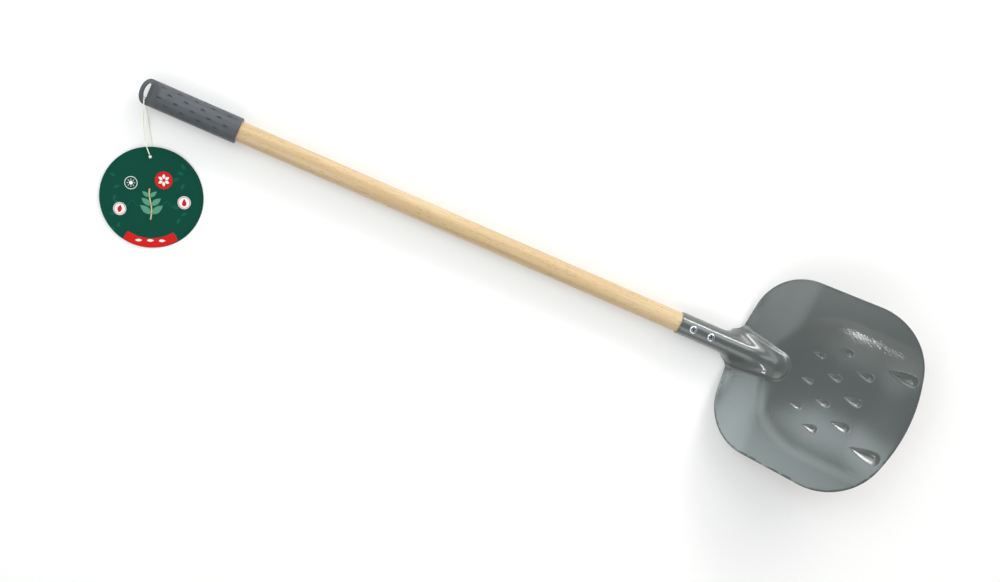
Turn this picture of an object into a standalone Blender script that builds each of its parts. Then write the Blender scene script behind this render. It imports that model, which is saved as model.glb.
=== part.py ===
"""Child's long-handled garden shovel: a pressed steel blade with its own rolled socket, a beech
handle held by two screws, a moulded rubber grip with a hanging eye, and a two-leaf hang tag.

Sizes are metres. The shovel is modelled along X from the mouth of its socket, with the grip
towards -X, the tip of the blade towards +X and the front of the blade up. A parent empty then
sets it down on the floor, z = 0, with the box of the shovel centred on the origin.
"""

from math import acos, atan, atan2, ceil, cos, hypot, pi, radians, sin, sqrt, tan

import bpy
import bmesh
import numpy as np
from mathutils import Euler, Matrix, Vector
from mathutils.geometry import delaunay_2d_cdt

# Length from the end of the grip to the tip of the blade, along the handle
WHOLE_LENGTH = 0.8228

# Fits
CLEARANCE = 0.0003

# Wooden handle
HANDLE_DIAMETER = 0.020
HANDLE_IN_SOCKET = 0.046
HANDLE_IN_GRIP = 0.0785
HANDLE_END_BEVEL = 0.001
HANDLE_SIDES = 40

# Pressed sheet and rolled socket
SHEET = 0.0012
SOCKET_LENGTH = 0.058
SEAM_GAP = 0.0005
SOCKET_SIDES = 24
OPENING_START = 0.0432
OPENING_LENGTH = 0.0300
CURL_END = 0.018
CURL_FADE = 0.012
HEEL_LEVEL = -0.0125
HEEL_BLEND = 0.006
NECK_AT = 0.0043
NECK_HALF_WIDTH = 0.0208
BEND_LENGTH = 0.034
BLADE_LIFT = radians(20.0)

# Outline of the blade, from the bend
SHOULDER_SLOPE = radians(6.45)
SHOULDER_HALF_WIDTH = 0.0930
SHOULDER_RADIUS = 0.0509
TIP_HALF_WIDTH = 0.0998
TIP_CORNER_AT = 0.1719
TIP_CORNER_RADIUS = 0.655 * TIP_HALF_WIDTH
TIP_POINT_AT = 0.1979
TIP_RADIUS = 1.661 * TIP_HALF_WIDTH
NECK_RADIUS = 0.004
SEAM_RADIUS = 0.012

# Pressed form of the blade
SHEET_LEVEL = -0.0095
FLANGE_RISE = 0.0055
SIDE_FLARE = 0.012
BOWL_DEPTH = 0.0068
BOWL_CENTRE = 0.108
BOWL_RADIUS = 0.070
BOWL_EDGE = 0.0012
FROG_STEP = 0.0026
FROG_DOME = 0.0040
FROG_HALF_WIDTH = 0.0215
FROG_NOSE_RADIUS = 0.0145
FROG_NOSE_AT = 0.0490
FROG_WALL = 0.0045
RIDGE_BLEND = 0.0036

# Embossed drops: distance from the bend, places across, length, radius of the round end, depth
DROP_PITCH = 0.0284
DROP_ROWS = (
    (0.0835, (-1.0, 0.0, 1.0), 0.0135, 0.0029, 0.0014),
    (0.1062, (-1.5, -0.5, 0.5, 1.5), 0.0165, 0.0036, 0.0017),
    (0.1322, (-1.0, 0.0, 1.0), 0.0210, 0.0043, 0.0021),
    (0.1655, (-1.52, 1.52), 0.0340, 0.0064, 0.0029),
)

# Screws
SCREW_AT = 0.0136
SCREW_PITCH = 0.0198
SCREW_LENGTH = 0.016
SHANK_RADIUS = 0.0020
HEAD_RADIUS = 0.0042
HEAD_HEIGHT = 0.0026
RECESS_WIDTH = 0.0011
RECESS_REACH = 0.0046
RECESS_DEPTH = 0.0016

# Rubber grip
GRIP_DIAMETER = 0.0262
GRIP_LENGTH = 0.1027
GRIP_RIM_ROUND = 0.0009
GRIP_COLUMNS = 28
GRIP_DOME = 0.008
EYE_THICKNESS = 0.007
EYE_SCOOP = 0.014
EYE_WALL = 0.0038
SLOT_HALF_LENGTH = 0.0085
SLOT_WIDTH = 0.0052
DIMPLE_ROWS = 14
DIMPLE_FIRST = 0.0124
DIMPLE_PITCH = 0.0170
DIMPLE_LENGTH = 0.0056
DIMPLE_RADIUS = 0.0011
DIMPLE_DEPTH = 0.0006

# Hang tag
TAG_DIAMETER = 0.100
TAG_SHEET = 0.0005
TAG_HOLE_RADIUS = 0.0016
TAG_HOLE_INSET = 0.0098
TAG_DIRECTION = radians(-64.7)
LEAF_TURN = radians(-3.7)
TAG_REACH = 0.0533
TAG_OVER_STRING = 0.0015
BACK_LEAF_TURN = radians(2.5)
STRING_DIAMETER = 0.0011
KNOT_RADIUS = 0.0017
KNOT_HEIGHT = 0.0027

# Route of the string from the knot's back, under the leaves, round the eye's wall and back:
# reach from the eye's wall, place aside, height over the floor
STRING_ROUTE = (
    (0.0521, 0.0000, 0.0007),
    (0.0480, -0.0012, 0.0006),
    (0.0435, -0.0018, 0.0006),
    (0.0370, -0.0014, 0.0006),
    (0.0290, -0.0006, 0.0008),
    (0.0210, -0.0001, 0.0016),
    (0.0140, 0.0002, 0.0032),
    (0.0075, 0.0003, 0.0055),
    (0.0020, 0.0002, 0.0077),
    (-0.0020, 0.0000, 0.0083),
    (-0.0043, 0.0000, 0.0102),
    (-0.0052, 0.0000, 0.0131),
    (-0.0043, 0.0000, 0.0160),
    (-0.0018, 0.0000, 0.0180),
    (0.0016, 0.0003, 0.0184),
    (0.0070, 0.0013, 0.0164),
    (0.0135, 0.0027, 0.0128),
    (0.0200, 0.0037, 0.0093),
    (0.0270, 0.0042, 0.0066),
    (0.0340, 0.0041, 0.0050),
    (0.0400, 0.0034, 0.0044),
    (0.0455, 0.0022, 0.0043),
    (0.0510, 0.0005, 0.0043),
)
STRING_STEP = 0.0026

# Values that follow from the sizes above
HANDLE_RADIUS = HANDLE_DIAMETER / 2
TUBE_RADIUS = HANDLE_RADIUS + CLEARANCE + SHEET / 2
TUBE_OUTSIDE = TUBE_RADIUS + SHEET / 2
STRIP_HALF_WIDTH = pi * TUBE_RADIUS - SEAM_GAP / 2
BORE_RADIUS = HANDLE_RADIUS + CLEARANCE
HOLE_RADIUS = SHANK_RADIUS + CLEARANCE
GRIP_RADIUS = GRIP_DIAMETER / 2


def smooth(t):
    t = np.clip(t, 0.0, 1.0)
    return t * t * (3.0 - 2.0 * t)


def smooth_max(a, b, width):
    near = np.maximum(width - np.abs(a - b), 0.0)
    return np.maximum(a, b) + near * near / (4.0 * width)


def material(name, color, roughness, metallic):
    made = bpy.data.materials.new(name)
    made.use_nodes = True
    shader = made.node_tree.nodes["Principled BSDF"]
    shader.inputs["Base Color"].default_value = (*color, 1.0)
    shader.inputs["Roughness"].default_value = roughness
    shader.inputs["Metallic"].default_value = metallic
    made.diffuse_color = (*color, 1.0)
    return made


def mesh_object(name, points, faces, parent, finish, sharp=radians(35)):
    mesh = bpy.data.meshes.new(name)
    mesh.from_pydata([tuple(map(float, p)) for p in points], [], [tuple(map(int, f)) for f in faces])
    bm = bmesh.new()
    bm.from_mesh(mesh)
    bmesh.ops.remove_doubles(bm, verts=bm.verts, dist=1e-6)
    bmesh.ops.recalc_face_normals(bm, faces=bm.faces)
    if bm.calc_volume(signed=True) < 0:
        bmesh.ops.reverse_faces(bm, faces=bm.faces)
    bm.to_mesh(mesh)
    bm.free()
    mesh.shade_smooth()
    mesh.set_sharp_from_angle(angle=sharp)
    made = bpy.data.objects.new(name, mesh)
    bpy.context.scene.collection.objects.link(made)
    made.parent = parent
    made.data.materials.append(finish)
    return made


def cutter(name, points, faces, parent):
    made = mesh_object(name, points, faces, parent, bpy.data.materials["cutter"])
    made.hide_render = True
    made.display_type = "WIRE"
    return made


def cut(target, tool):
    step = target.modifiers.new(tool.name, "BOOLEAN")
    step.operation = "DIFFERENCE"
    step.solver = "EXACT"
    step.object = tool


def turned(profile, sides, along="X", closed=True):
    """Points and faces of a turned body from (place on the axis, radius) pairs."""
    points = []
    for place, radius in profile:
        for i in range(sides):
            turn = 2 * pi * i / sides
            ring = (place, radius * sin(turn), radius * cos(turn))
            points.append(ring if along == "X" else (ring[1], ring[2], ring[0]))
    faces = []
    for row in range(len(profile) - 1):
        for i in range(sides):
            k = (i + 1) % sides
            faces.append((row * sides + i, row * sides + k, (row + 1) * sides + k, (row + 1) * sides + i))
    if closed:
        faces.append(tuple(range(sides)))
        faces.append(tuple(range((len(profile) - 1) * sides, len(profile) * sides)))
    return points, faces


def prism(outline, low, high):
    """Points and faces of a flat outline drawn in X and Y and raised from low to high."""
    count = len(outline)
    points = [(x, y, low) for x, y in outline] + [(x, y, high) for x, y in outline]
    faces = [tuple(range(count)), tuple(range(count, 2 * count))]
    for i in range(count):
        k = (i + 1) % count
        faces.append((i, k, count + k, count + i))
    return points, faces


def rounded(corners, step):
    """Points along a chain of corners (x, y, radius), each rounded by its own arc."""
    points = [np.array(corners[0][:2])]

    def run_to(target):
        start = points[-1]
        count = max(1, ceil(np.linalg.norm(target - start) / step - 1e-6))
        for i in range(1, count + 1):
            points.append(start + (target - start) * i / count)

    for before, corner, after in zip(corners, corners[1:], corners[2:]):
        middle = np.array(corner[:2])
        back = np.array(before[:2]) - middle
        ahead = np.array(after[:2]) - middle
        back /= np.linalg.norm(back)
        ahead /= np.linalg.norm(ahead)
        half = acos(max(-1.0, min(1.0, float(back @ ahead)))) / 2
        radius = corner[2]
        first = middle + back * radius / tan(half)
        centre = middle + (back + ahead) / np.linalg.norm(back + ahead) * radius / sin(half)
        run_to(first)
        turn = pi - 2 * half
        side = 1.0 if back[0] * ahead[1] - back[1] * ahead[0] < 0 else -1.0
        count = max(5, ceil(radius * turn / step))
        spoke = first - centre
        for i in range(1, count + 1):
            angle = side * turn * i / count
            points.append(
                centre
                + np.array(
                    (
                        spoke[0] * cos(angle) - spoke[1] * sin(angle),
                        spoke[0] * sin(angle) + spoke[1] * cos(angle),
                    )
                )
            )
    run_to(np.array(corners[-1][:2]))
    return np.array(points)


def inside(points, loop):
    """Which points lie inside a closed loop, by counting crossings."""
    x, y = points[:, 0][:, None], points[:, 1][:, None]
    ax, ay = loop[:, 0][None], loop[:, 1][None]
    bx, by = np.roll(loop[:, 0], -1)[None], np.roll(loop[:, 1], -1)[None]
    spans = (ay > y) != (by > y)
    rise = np.where(by == ay, 1.0, by - ay)
    crossing = ax + (y - ay) / rise * (bx - ax)
    return (spans & (x < crossing)).sum(axis=1) % 2 == 1


def triangulate(outline, holes, rings, scatter):
    """Delaunay triangles of a flat blank. scatter holds (points, least spacing) pairs, finest first."""
    loops = [outline, *holes, *rings]
    edges = []
    placed = []
    for loop in loops:
        first = sum(len(done) for done in placed)
        count = len(loop)
        placed.append(loop)
        edges += [(first + i, first + (i + 1) % count) for i in range(count)]
    kept = np.concatenate(placed)
    for points, spacing in scatter:
        points = points[inside(points, outline)]
        for hole in holes:
            points = points[~inside(points, hole)]
        for point in points:
            if np.min(np.sum((kept - point) ** 2, axis=1)) > spacing * spacing:
                kept = np.vstack((kept, point))
    made = delaunay_2d_cdt([Vector(p) for p in kept], edges, [], 0, 1e-7)
    points = np.array([tuple(p) for p in made[0]])
    faces = np.array([tuple(f) for f in made[2]])
    middles = points[faces].mean(axis=1)
    keep = inside(middles, outline)
    for hole in holes:
        keep &= ~inside(middles, hole)
    return points, faces[keep]


def hexes(x0, x1, y0, y1, spacing):
    """A lattice of points in staggered rows."""
    points = []
    rows = ceil((y1 - y0) / (spacing * sqrt(0.75)))
    for j in range(rows + 1):
        shift = spacing / 2 if j % 2 else 0.0
        for i in range(ceil((x1 - x0) / spacing) + 1):
            points.append((x0 + shift + i * spacing, y0 + j * spacing * sqrt(0.75)))
    return np.array(points)


def circle(x, y, radius, count):
    turns = 2 * pi * np.arange(count) / count
    return np.stack((x + radius * np.cos(turns), y + radius * np.sin(turns)), axis=1)


def drop_half_width(p, length, radius):
    """Half the width of a drop, at a distance p from its pointed tail."""
    tail = length - radius
    narrow = radius * np.sin(pi / 2 * np.clip(p / tail, 0.0, 1.0)) ** 1.15
    end = np.sqrt(np.maximum(radius**2 - (p - tail) ** 2, 0.0))
    return np.where(p < tail, narrow, end)


def drop_depth(p, q, length, radius, depth):
    """Depth of a pressed drop at a point p along from its tail and q aside.

    Its walls fall from a crisp rim to a rounded keel, and it grows shallow towards the tail.
    """
    tail = length - radius
    width = np.maximum(drop_half_width(p, length, radius), 1e-7)
    share = np.where(p < tail, np.abs(q) / width, np.hypot(p - tail, q) / radius)
    floor = np.where(p < tail, width / radius, 1.0)
    return np.where(p > 0.0, depth * floor * (1.0 - np.minimum(share, 1.0) ** 1.5), 0.0)


def drop_ring(x, y, length, radius, share, side_points, end_points):
    """Outline of a drop whose tail is at x, y, drawn in to a share of its width."""
    tail = length - radius
    start = (1.0 - share) * tail
    along = start + (tail - start) * (np.arange(side_points) / side_points)
    turns = pi * (np.arange(end_points + 1) / end_points) - pi / 2
    upper = [(p, share * float(drop_half_width(p, length, radius))) for p in along]
    end = [(tail + share * radius * cos(t), share * radius * sin(t)) for t in turns]
    lower = [(p, -w) for p, w in upper if w > 1e-6]
    loop = lower + end + upper[::-1] if len(lower) == len(upper) else [upper[0]] + lower + end + upper[:0:-1]
    return np.array(loop) + np.array((x, y))


def bend_angle(w):
    """Lift of the blade's centre line at a distance w from the socket's mouth."""
    return BLADE_LIFT * smooth((w - SOCKET_LENGTH + BEND_LENGTH / 2) / BEND_LENGTH)


REACH = SOCKET_LENGTH + TIP_POINT_AT + 0.01
LINE_W = np.linspace(-0.01, REACH, 2001)
LINE_STEP = LINE_W[1] - LINE_W[0]
LINE_ANGLE = bend_angle(LINE_W)
LINE_X = np.concatenate(((0.0,), np.cumsum(np.cos((LINE_ANGLE[1:] + LINE_ANGLE[:-1]) / 2)))) * LINE_STEP - 0.01
LINE_Z = np.concatenate(((0.0,), np.cumsum(np.sin((LINE_ANGLE[1:] + LINE_ANGLE[:-1]) / 2)))) * LINE_STEP


def socket_top(w):
    """Height of the socket's straight top over the centre line, square to that line."""
    return (TUBE_RADIUS - np.interp(w, LINE_W, LINE_Z)) / np.cos(bend_angle(w))


def pressed_height(w, v):
    """Height of the pressed sheet over the centre line, v aside from it."""
    u = w - SOCKET_LENGTH
    side = np.abs(v)
    flange = SHEET_LEVEL + FLANGE_RISE * smooth((u - 0.008) / 0.052)
    flange = flange + SIDE_FLARE * (side / TIP_HALF_WIDTH) ** 2
    from_centre = np.where(u < BOWL_CENTRE, np.hypot(u - BOWL_CENTRE, side), side)
    bowl = BOWL_DEPTH * (1.0 - (from_centre / BOWL_RADIUS) ** 2)
    bowl = smooth_max(bowl * (1.0 - 0.5 * smooth((u - 0.145) / 0.05)), 0.0, BOWL_EDGE)
    share = np.clip(u / FROG_NOSE_AT, 0.0, 1.0)
    half = FROG_HALF_WIDTH + (FROG_NOSE_RADIUS - FROG_HALF_WIDTH) * share
    from_frog = np.where(u < FROG_NOSE_AT, side, np.hypot(u - FROG_NOSE_AT, side)) - half
    frog = FROG_STEP * (1.0 - smooth(from_frog / FROG_WALL + 0.5))
    frog = frog + FROG_DOME * (1.0 - (1.0 - np.clip(-from_frog / half, 0.0, 1.0)) ** 1.6)
    level = flange - bowl + frog
    turn = 0.8
    shoulder = TUBE_RADIUS * turn
    fall = TUBE_RADIUS - np.sqrt(np.maximum(TUBE_RADIUS**2 - np.minimum(side, shoulder) ** 2, 0.0))
    fall = fall + np.maximum(side - shoulder, 0.0) * turn / sqrt(1 - turn * turn)
    return smooth_max(level, socket_top(w) - fall, RIDGE_BLEND)


def pressed_drops(w, v):
    """Depth of the embossed drops under the pressed sheet."""
    level = np.zeros_like(w)
    for at, places, length, radius, depth in DROP_ROWS:
        for place in places:
            p = w - SOCKET_LENGTH - (at - length / 2)
            level = level + drop_depth(p, v - place * DROP_PITCH, length, radius, depth)
    return level


def rolled_section(w, v):
    """Place aside and height where the section turns from the tube's round into the pressed form."""
    opened = smooth((w - OPENING_START) / OPENING_LENGTH)
    steps = 160
    nudge = 5e-5
    aside = np.zeros_like(w)
    height = (1.0 - opened) * socket_top(w) + opened * pressed_height(w, np.zeros_like(w))
    past_neck = smooth((w - SOCKET_LENGTH + 0.006) / 0.010)
    for k in range(steps):
        t = (k + 0.5) / steps * v
        slope = (pressed_height(w, t + nudge) - pressed_height(w, t - nudge)) / (2 * nudge)
        flared = past_neck * smooth((np.abs(t) - CURL_END) / CURL_FADE)
        turn = opened * np.arctan(slope) - (1.0 - opened) * (1.0 - flared) * t / TUBE_RADIUS
        length = (1.0 - opened + opened * np.hypot(1.0, slope)) * v / steps
        aside = aside + np.cos(turn) * length
        height = height + np.sin(turn) * length
    wing = past_neck * smooth((np.abs(v) - CURL_END - CURL_FADE / 2) / (2.5 * CURL_FADE))
    return aside + wing * (v - aside), height + wing * (pressed_height(w, v) - height)


def sheet_points(w, v):
    """Points of the sheet's middle surface for places (w, v) of the flat blank.

    Across the socket the section turns on the tube's radius. Past the bend it follows the
    pressed height. Between the two its direction blends from one to the other, so that the
    rolled strip opens into the blade.
    """
    aside = np.array(v)
    height = pressed_height(w, v)
    rolled = w < OPENING_START + OPENING_LENGTH
    aside[rolled], height[rolled] = rolled_section(w[rolled], v[rolled])
    height = height - pressed_drops(w, v)
    lift = bend_angle(w)
    heel = (HEEL_LEVEL - np.interp(w, LINE_W, LINE_Z)) / np.cos(lift)
    gate = smooth((w - OPENING_START) / 0.012)
    height = height + gate * (smooth_max(height, heel, HEEL_BLEND) - height)
    x = np.interp(w, LINE_W, LINE_X) - height * np.sin(lift)
    z = np.interp(w, LINE_W, LINE_Z) + height * np.cos(lift)
    return np.stack((x, aside, z), axis=1)


def sheet_sides(w, v):
    """Front and back points of the sheet, half its thickness to each side of the middle."""
    nudge = 1e-4
    along = sheet_points(w + nudge, v) - sheet_points(w - nudge, v)
    across = sheet_points(w, v + nudge) - sheet_points(w, v - nudge)
    normal = np.cross(along, across)
    normal /= np.linalg.norm(normal, axis=1)[:, None]
    middle = sheet_points(w, v)
    return middle + normal * SHEET / 2, middle - normal * SHEET / 2


def tip_reach():
    """How far the tip of the blade stands from the socket's mouth, measured along the socket."""
    _, back = sheet_sides(np.array([SOCKET_LENGTH + TIP_AT]), np.array([0.0]))
    return float(back[0, 0])


# The handle fills what the grip and the blade leave of the whole length
TIP_AT = TIP_POINT_AT - TIP_RADIUS * (1 / sin(atan2(TIP_HALF_WIDTH, TIP_POINT_AT - TIP_CORNER_AT)) - 1)
HANDLE_SHOWN = WHOLE_LENGTH - GRIP_LENGTH - tip_reach()
GRIP_RIM_X = -HANDLE_SHOWN
GRIP_END_X = GRIP_RIM_X - GRIP_LENGTH
DOME_X = GRIP_END_X + GRIP_DOME
SLOT_FLAT_X = GRIP_END_X + EYE_WALL + SLOT_WIDTH
HANDLE_END_X = GRIP_RIM_X - HANDLE_IN_GRIP
EYE_BAR = Vector((SLOT_FLAT_X + 0.0001, -(SLOT_HALF_LENGTH + GRIP_RADIUS) / 2, 0.0))


def blank_outline():
    """Outline of the flat blank: a strip that rolls into the socket, and the blade."""
    neck = SOCKET_LENGTH + NECK_AT
    shoulder = neck + (SHOULDER_HALF_WIDTH - NECK_HALF_WIDTH) * tan(SHOULDER_SLOPE)
    corners = (
        (SOCKET_STATIONS[-1], STRIP_HALF_WIDTH, 0.0),
        (OPENING_START, STRIP_HALF_WIDTH, SEAM_RADIUS),
        (neck, NECK_HALF_WIDTH, NECK_RADIUS),
        (shoulder, SHOULDER_HALF_WIDTH, SHOULDER_RADIUS),
        (SOCKET_LENGTH + TIP_CORNER_AT, TIP_HALF_WIDTH, TIP_CORNER_RADIUS),
        (SOCKET_LENGTH + TIP_POINT_AT, 0.0, TIP_RADIUS),
        (SOCKET_LENGTH + TIP_CORNER_AT, -TIP_HALF_WIDTH, 0.0),
    )
    points = rounded(corners, 0.0045)
    half = points[points[:, 1] > 1e-5]
    half = np.vstack((half, (SOCKET_LENGTH + TIP_AT, 0.0)))
    mouth = np.linspace(-STRIP_HALF_WIDTH, STRIP_HALF_WIDTH, SOCKET_SIDES + 1)
    mouth = np.stack((np.zeros_like(mouth), mouth), axis=1)
    strip = [(x, STRIP_HALF_WIDTH) for x in SOCKET_STATIONS]
    strip = np.array(strip)
    mirrored = half[:-1][::-1] * (1.0, -1.0)
    return np.vstack((mouth, strip, half, mirrored, strip[::-1] * (1.0, -1.0)))


SOCKET_STATIONS = (0.0065, SCREW_AT, 0.0235, SCREW_AT + SCREW_PITCH, 0.0400)


def build_blade(parent, finish):
    outline = blank_outline()
    holes = [circle(SCREW_AT + i * SCREW_PITCH, 0.0, HOLE_RADIUS, 14) for i in range(2)]
    rings = []
    for at, places, length, radius, _ in DROP_ROWS:
        tail = SOCKET_LENGTH + at - length / 2
        for place in places:
            y = place * DROP_PITCH
            rings.append(drop_ring(tail, y, length, radius, 1.0, 5, 6))
            rings.append(drop_ring(tail, y, length, radius, 0.42, 3, 4))
    sides = np.linspace(-STRIP_HALF_WIDTH, STRIP_HALF_WIDTH, SOCKET_SIDES + 1)[1:-1]
    tube = np.array([(x, y) for x in SOCKET_STATIONS for y in sides])
    neck = np.array(
        [(x, y) for x in np.arange(OPENING_START, SOCKET_LENGTH + 0.008, 0.0025) for y in sides]
    )
    frog = hexes(SOCKET_LENGTH + 0.009, SOCKET_LENGTH + 0.075, -0.027, 0.027, 0.0034)
    bowl = hexes(SOCKET_LENGTH, SOCKET_LENGTH + TIP_POINT_AT, -0.075, 0.075, 0.0072)
    rest = hexes(SOCKET_LENGTH, SOCKET_LENGTH + TIP_POINT_AT, -0.1, 0.1, 0.0095)
    points, faces = triangulate(
        outline, holes, rings, ((tube, 0.0012), (neck, 0.0017), (frog, 0.0020), (bowl, 0.0046), (rest, 0.0060))
    )
    front, back = sheet_sides(points[:, 0], points[:, 1])
    count = len(points)
    solid = [tuple(f) for f in faces] + [tuple(count + f[::-1]) for f in faces]
    directed = {}
    for a, b, c in faces:
        for pair in ((a, b), (b, c), (c, a)):
            directed[pair] = True
    for a, b in directed:
        if (b, a) not in directed:
            solid.append((b, a, count + a, count + b))
    return mesh_object("blade", np.vstack((front, back)), solid, parent, finish)


def build_handle(parent, finish):
    bevel = HANDLE_END_BEVEL
    start, end = HANDLE_END_X, HANDLE_IN_SOCKET
    profile = (
        (start, HANDLE_RADIUS - bevel),
        (start + bevel, HANDLE_RADIUS),
        (end - bevel, HANDLE_RADIUS),
        (end, HANDLE_RADIUS - bevel),
    )
    handle = mesh_object("handle", *turned(profile, HANDLE_SIDES), parent, finish)
    depth = SCREW_LENGTH + CLEARANCE
    top = TUBE_OUTSIDE + CLEARANCE
    for i in range(2):
        points, faces = turned(((top - depth, HOLE_RADIUS), (top, HOLE_RADIUS)), 14, "Z")
        tool = cutter(f"pilot_hole_{i}", points, faces, parent)
        tool.location = (SCREW_AT + i * SCREW_PITCH, 0.0, 0.0)
        cut(handle, tool)
    return handle


def build_screw(name, x, parent, finish):
    seat = TUBE_OUTSIDE + CLEARANCE
    dome = [
        (seat + HEAD_HEIGHT * share, HEAD_RADIUS * radius)
        for share, radius in ((0.0, 0.94), (0.12, 1.0), (0.45, 1.0), (0.72, 0.9), (0.9, 0.68), (1.0, 0.3))
    ]
    shank = [
        (seat - SCREW_LENGTH, 0.0003),
        (seat - SCREW_LENGTH + 0.004, SHANK_RADIUS),
        (seat, SHANK_RADIUS),
    ]
    screw = mesh_object(name, *turned(shank + dome, 20, "Z"), parent, finish)
    screw.location = (x, 0.0, 0.0)
    top = seat + HEAD_HEIGHT
    for i in range(2):
        half = (RECESS_REACH / 2, RECESS_WIDTH / 2)
        if i:
            half = half[::-1]
        outline = ((-half[0], -half[1]), (half[0], -half[1]), (half[0], half[1]), (-half[0], half[1]))
        points, faces = prism(outline, top - RECESS_DEPTH - 0.0001 * i, top + 0.001)
        tool = cutter(f"{name}_recess_{i}", points, faces, screw)
        tool.rotation_euler = (0.0, 0.0, radians(12))
        cut(screw, tool)
    return screw


def grip_section(x):
    """Half width, half height and squareness of the grip's section at x."""
    flat = smooth((DOME_X + EYE_SCOOP - x) / EYE_SCOOP)
    height = GRIP_RADIUS + (EYE_THICKNESS / 2 - GRIP_RADIUS) * flat
    return GRIP_RADIUS, height, 2.0 + 1.2 * flat


def grip_point(m, turn, dimple=0.0):
    """Point of the grip's skin at a distance m along it from the rim, turned from the front."""
    barrel = GRIP_RIM_X - DOME_X
    if m < 0.0:
        x = GRIP_RIM_X
        width = height = GRIP_RADIUS - GRIP_RIM_ROUND + m
        square = 2.0
    elif m <= barrel:
        x = GRIP_RIM_X - m
        width, height, square = grip_section(x)
        if m < GRIP_RIM_ROUND:
            inward = GRIP_RIM_ROUND - sqrt(GRIP_RIM_ROUND**2 - (GRIP_RIM_ROUND - m) ** 2)
            width, height = width - inward, height - inward
    else:
        round_off = min((m - barrel) / GRIP_DOME, 1.0) * pi / 2
        x = DOME_X - GRIP_DOME * sin(round_off)
        width, height, square = grip_section(DOME_X)
        width *= cos(round_off)
        height *= sqrt(max(1.0 - sin(round_off) ** 5, 0.0))
    width, height = width - dimple, height - dimple
    across, up = sin(turn), cos(turn)
    y = width * (1 if across > 0 else -1) * abs(across) ** (2 / square)
    z = height * (1 if up > 0 else -1) * abs(up) ** (2 / square)
    return x, y, z


def dimple_places():
    """Tail of each dimple on the unrolled grip: distance from the rim and arc from the front."""
    spread = 2 * pi * GRIP_RADIUS / DIMPLE_ROWS
    for row in range(-DIMPLE_ROWS // 2, DIMPLE_ROWS // 2):
        odd = row % 2
        for i in range(5 - odd):
            yield DIMPLE_FIRST + (i + odd / 2) * DIMPLE_PITCH - DIMPLE_LENGTH / 2, row * spread


def build_grip(parent, finish):
    around = 2 * pi * GRIP_RADIUS
    seam = -around / 2 - around / DIMPLE_ROWS / 2
    barrel = GRIP_RIM_X - DOME_X
    rim = GRIP_RIM_ROUND - 0.0002
    stations = [-rim, 0.0, 0.0003, GRIP_RIM_ROUND]
    stations += list(np.linspace(GRIP_RIM_ROUND, barrel - EYE_SCOOP, 12)[1:])
    stations += list(np.linspace(barrel - EYE_SCOOP, barrel, 6)[1:])
    stations += [barrel + GRIP_DOME * share for share in (0.2, 0.4, 0.58, 0.74, 0.87, 0.96)]
    first, last = stations[0], stations[-1]
    columns = seam + around * np.arange(GRIP_COLUMNS + 1) / GRIP_COLUMNS
    outline = [(m, columns[0]) for m in stations]
    outline += [(last, s) for s in columns[1:-1]]
    outline += [(m, columns[-1]) for m in stations[::-1]]
    outline += [(first, s) for s in columns[1:-1][::-1]]
    outline = np.array(outline)
    places = list(dimple_places())
    rings = [drop_ring(m, s, DIMPLE_LENGTH, DIMPLE_RADIUS, 1.0, 3, 3) for m, s in places]
    inner = [
        (m + DIMPLE_LENGTH * share, s) for m, s in places for share in (0.42, 0.78)
    ]
    lattice = np.array([(m, s) for m in stations[1:-1] for s in columns[1:-1]])
    scatter = ((np.array(inner), 0.0003), (lattice, 0.0014))
    points, faces = triangulate(outline, [], rings, scatter)
    deep = np.zeros(len(points))
    for m, s in places:
        deep += drop_depth(points[:, 0] - m, points[:, 1] - s, DIMPLE_LENGTH, DIMPLE_RADIUS, DIMPLE_DEPTH)
    skin = [grip_point(m, s / GRIP_RADIUS, d) for (m, s), d in zip(points, deep)]
    solid = [tuple(f) for f in faces]
    for station in (first, last):
        ring = np.where(np.abs(points[:, 0] - station) < 1e-7)[0]
        ring = ring[np.argsort(points[ring, 1])]
        middle = np.mean([skin[i] for i in ring[:-1]], axis=0)
        skin.append((middle[0] - (0.0002 if station == last else 0.0), middle[1], middle[2]))
        solid += [(a, b, len(skin) - 1) for a, b in zip(ring, ring[1:])]
    grip = mesh_object("grip", skin, solid, parent, finish)
    bore = cutter(
        "grip_bore",
        *turned(((HANDLE_END_X - CLEARANCE, BORE_RADIUS), (GRIP_RIM_X + 0.005, BORE_RADIUS)), HANDLE_SIDES),
        parent,
    )
    bore.rotation_euler = (radians(3.7), 0.0, 0.0)
    cut(grip, bore)
    slot = cutter("hang_slot", *prism(slot_outline(), -GRIP_DIAMETER, GRIP_DIAMETER), parent)
    cut(grip, slot)
    return grip


def slot_outline():
    """D-shaped slot of the hanging eye: flat towards the handle, arched towards the end."""
    corner = 0.0008
    points = [(SLOT_FLAT_X, SLOT_HALF_LENGTH - corner), (SLOT_FLAT_X, -SLOT_HALF_LENGTH + corner)]
    for i in range(16):
        turn = -pi / 2 + pi * i / 15
        points.append((SLOT_FLAT_X - corner - (SLOT_WIDTH - corner) * cos(turn), SLOT_HALF_LENGTH * sin(turn)))
    return points


def build_leaf(name, turn, lift, parent, finish):
    """One round card leaf, hung by the hole near its rim, which is the object's origin."""
    reach = TAG_DIAMETER / 2 - TAG_HOLE_INSET
    rim = circle(0.0, 0.0, TAG_DIAMETER / 2, 64) + (reach, 0.0)
    leaf = mesh_object(name, *prism(rim, 0.0, TAG_SHEET), parent, finish)
    hole = cutter(f"{name}_hole", *prism(circle(0.0, 0.0, TAG_HOLE_RADIUS, 16), -0.002, 0.002), leaf)
    cut(leaf, hole)
    leaf.location = (TAG_REACH, 0.0, lift)
    tilt = atan(TAG_OVER_STRING / (reach + TAG_DIAMETER / 2))
    leaf.rotation_euler = (Matrix.Rotation(tilt, 3, "Y") @ Matrix.Rotation(turn, 3, "Z")).to_euler()
    return leaf


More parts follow.
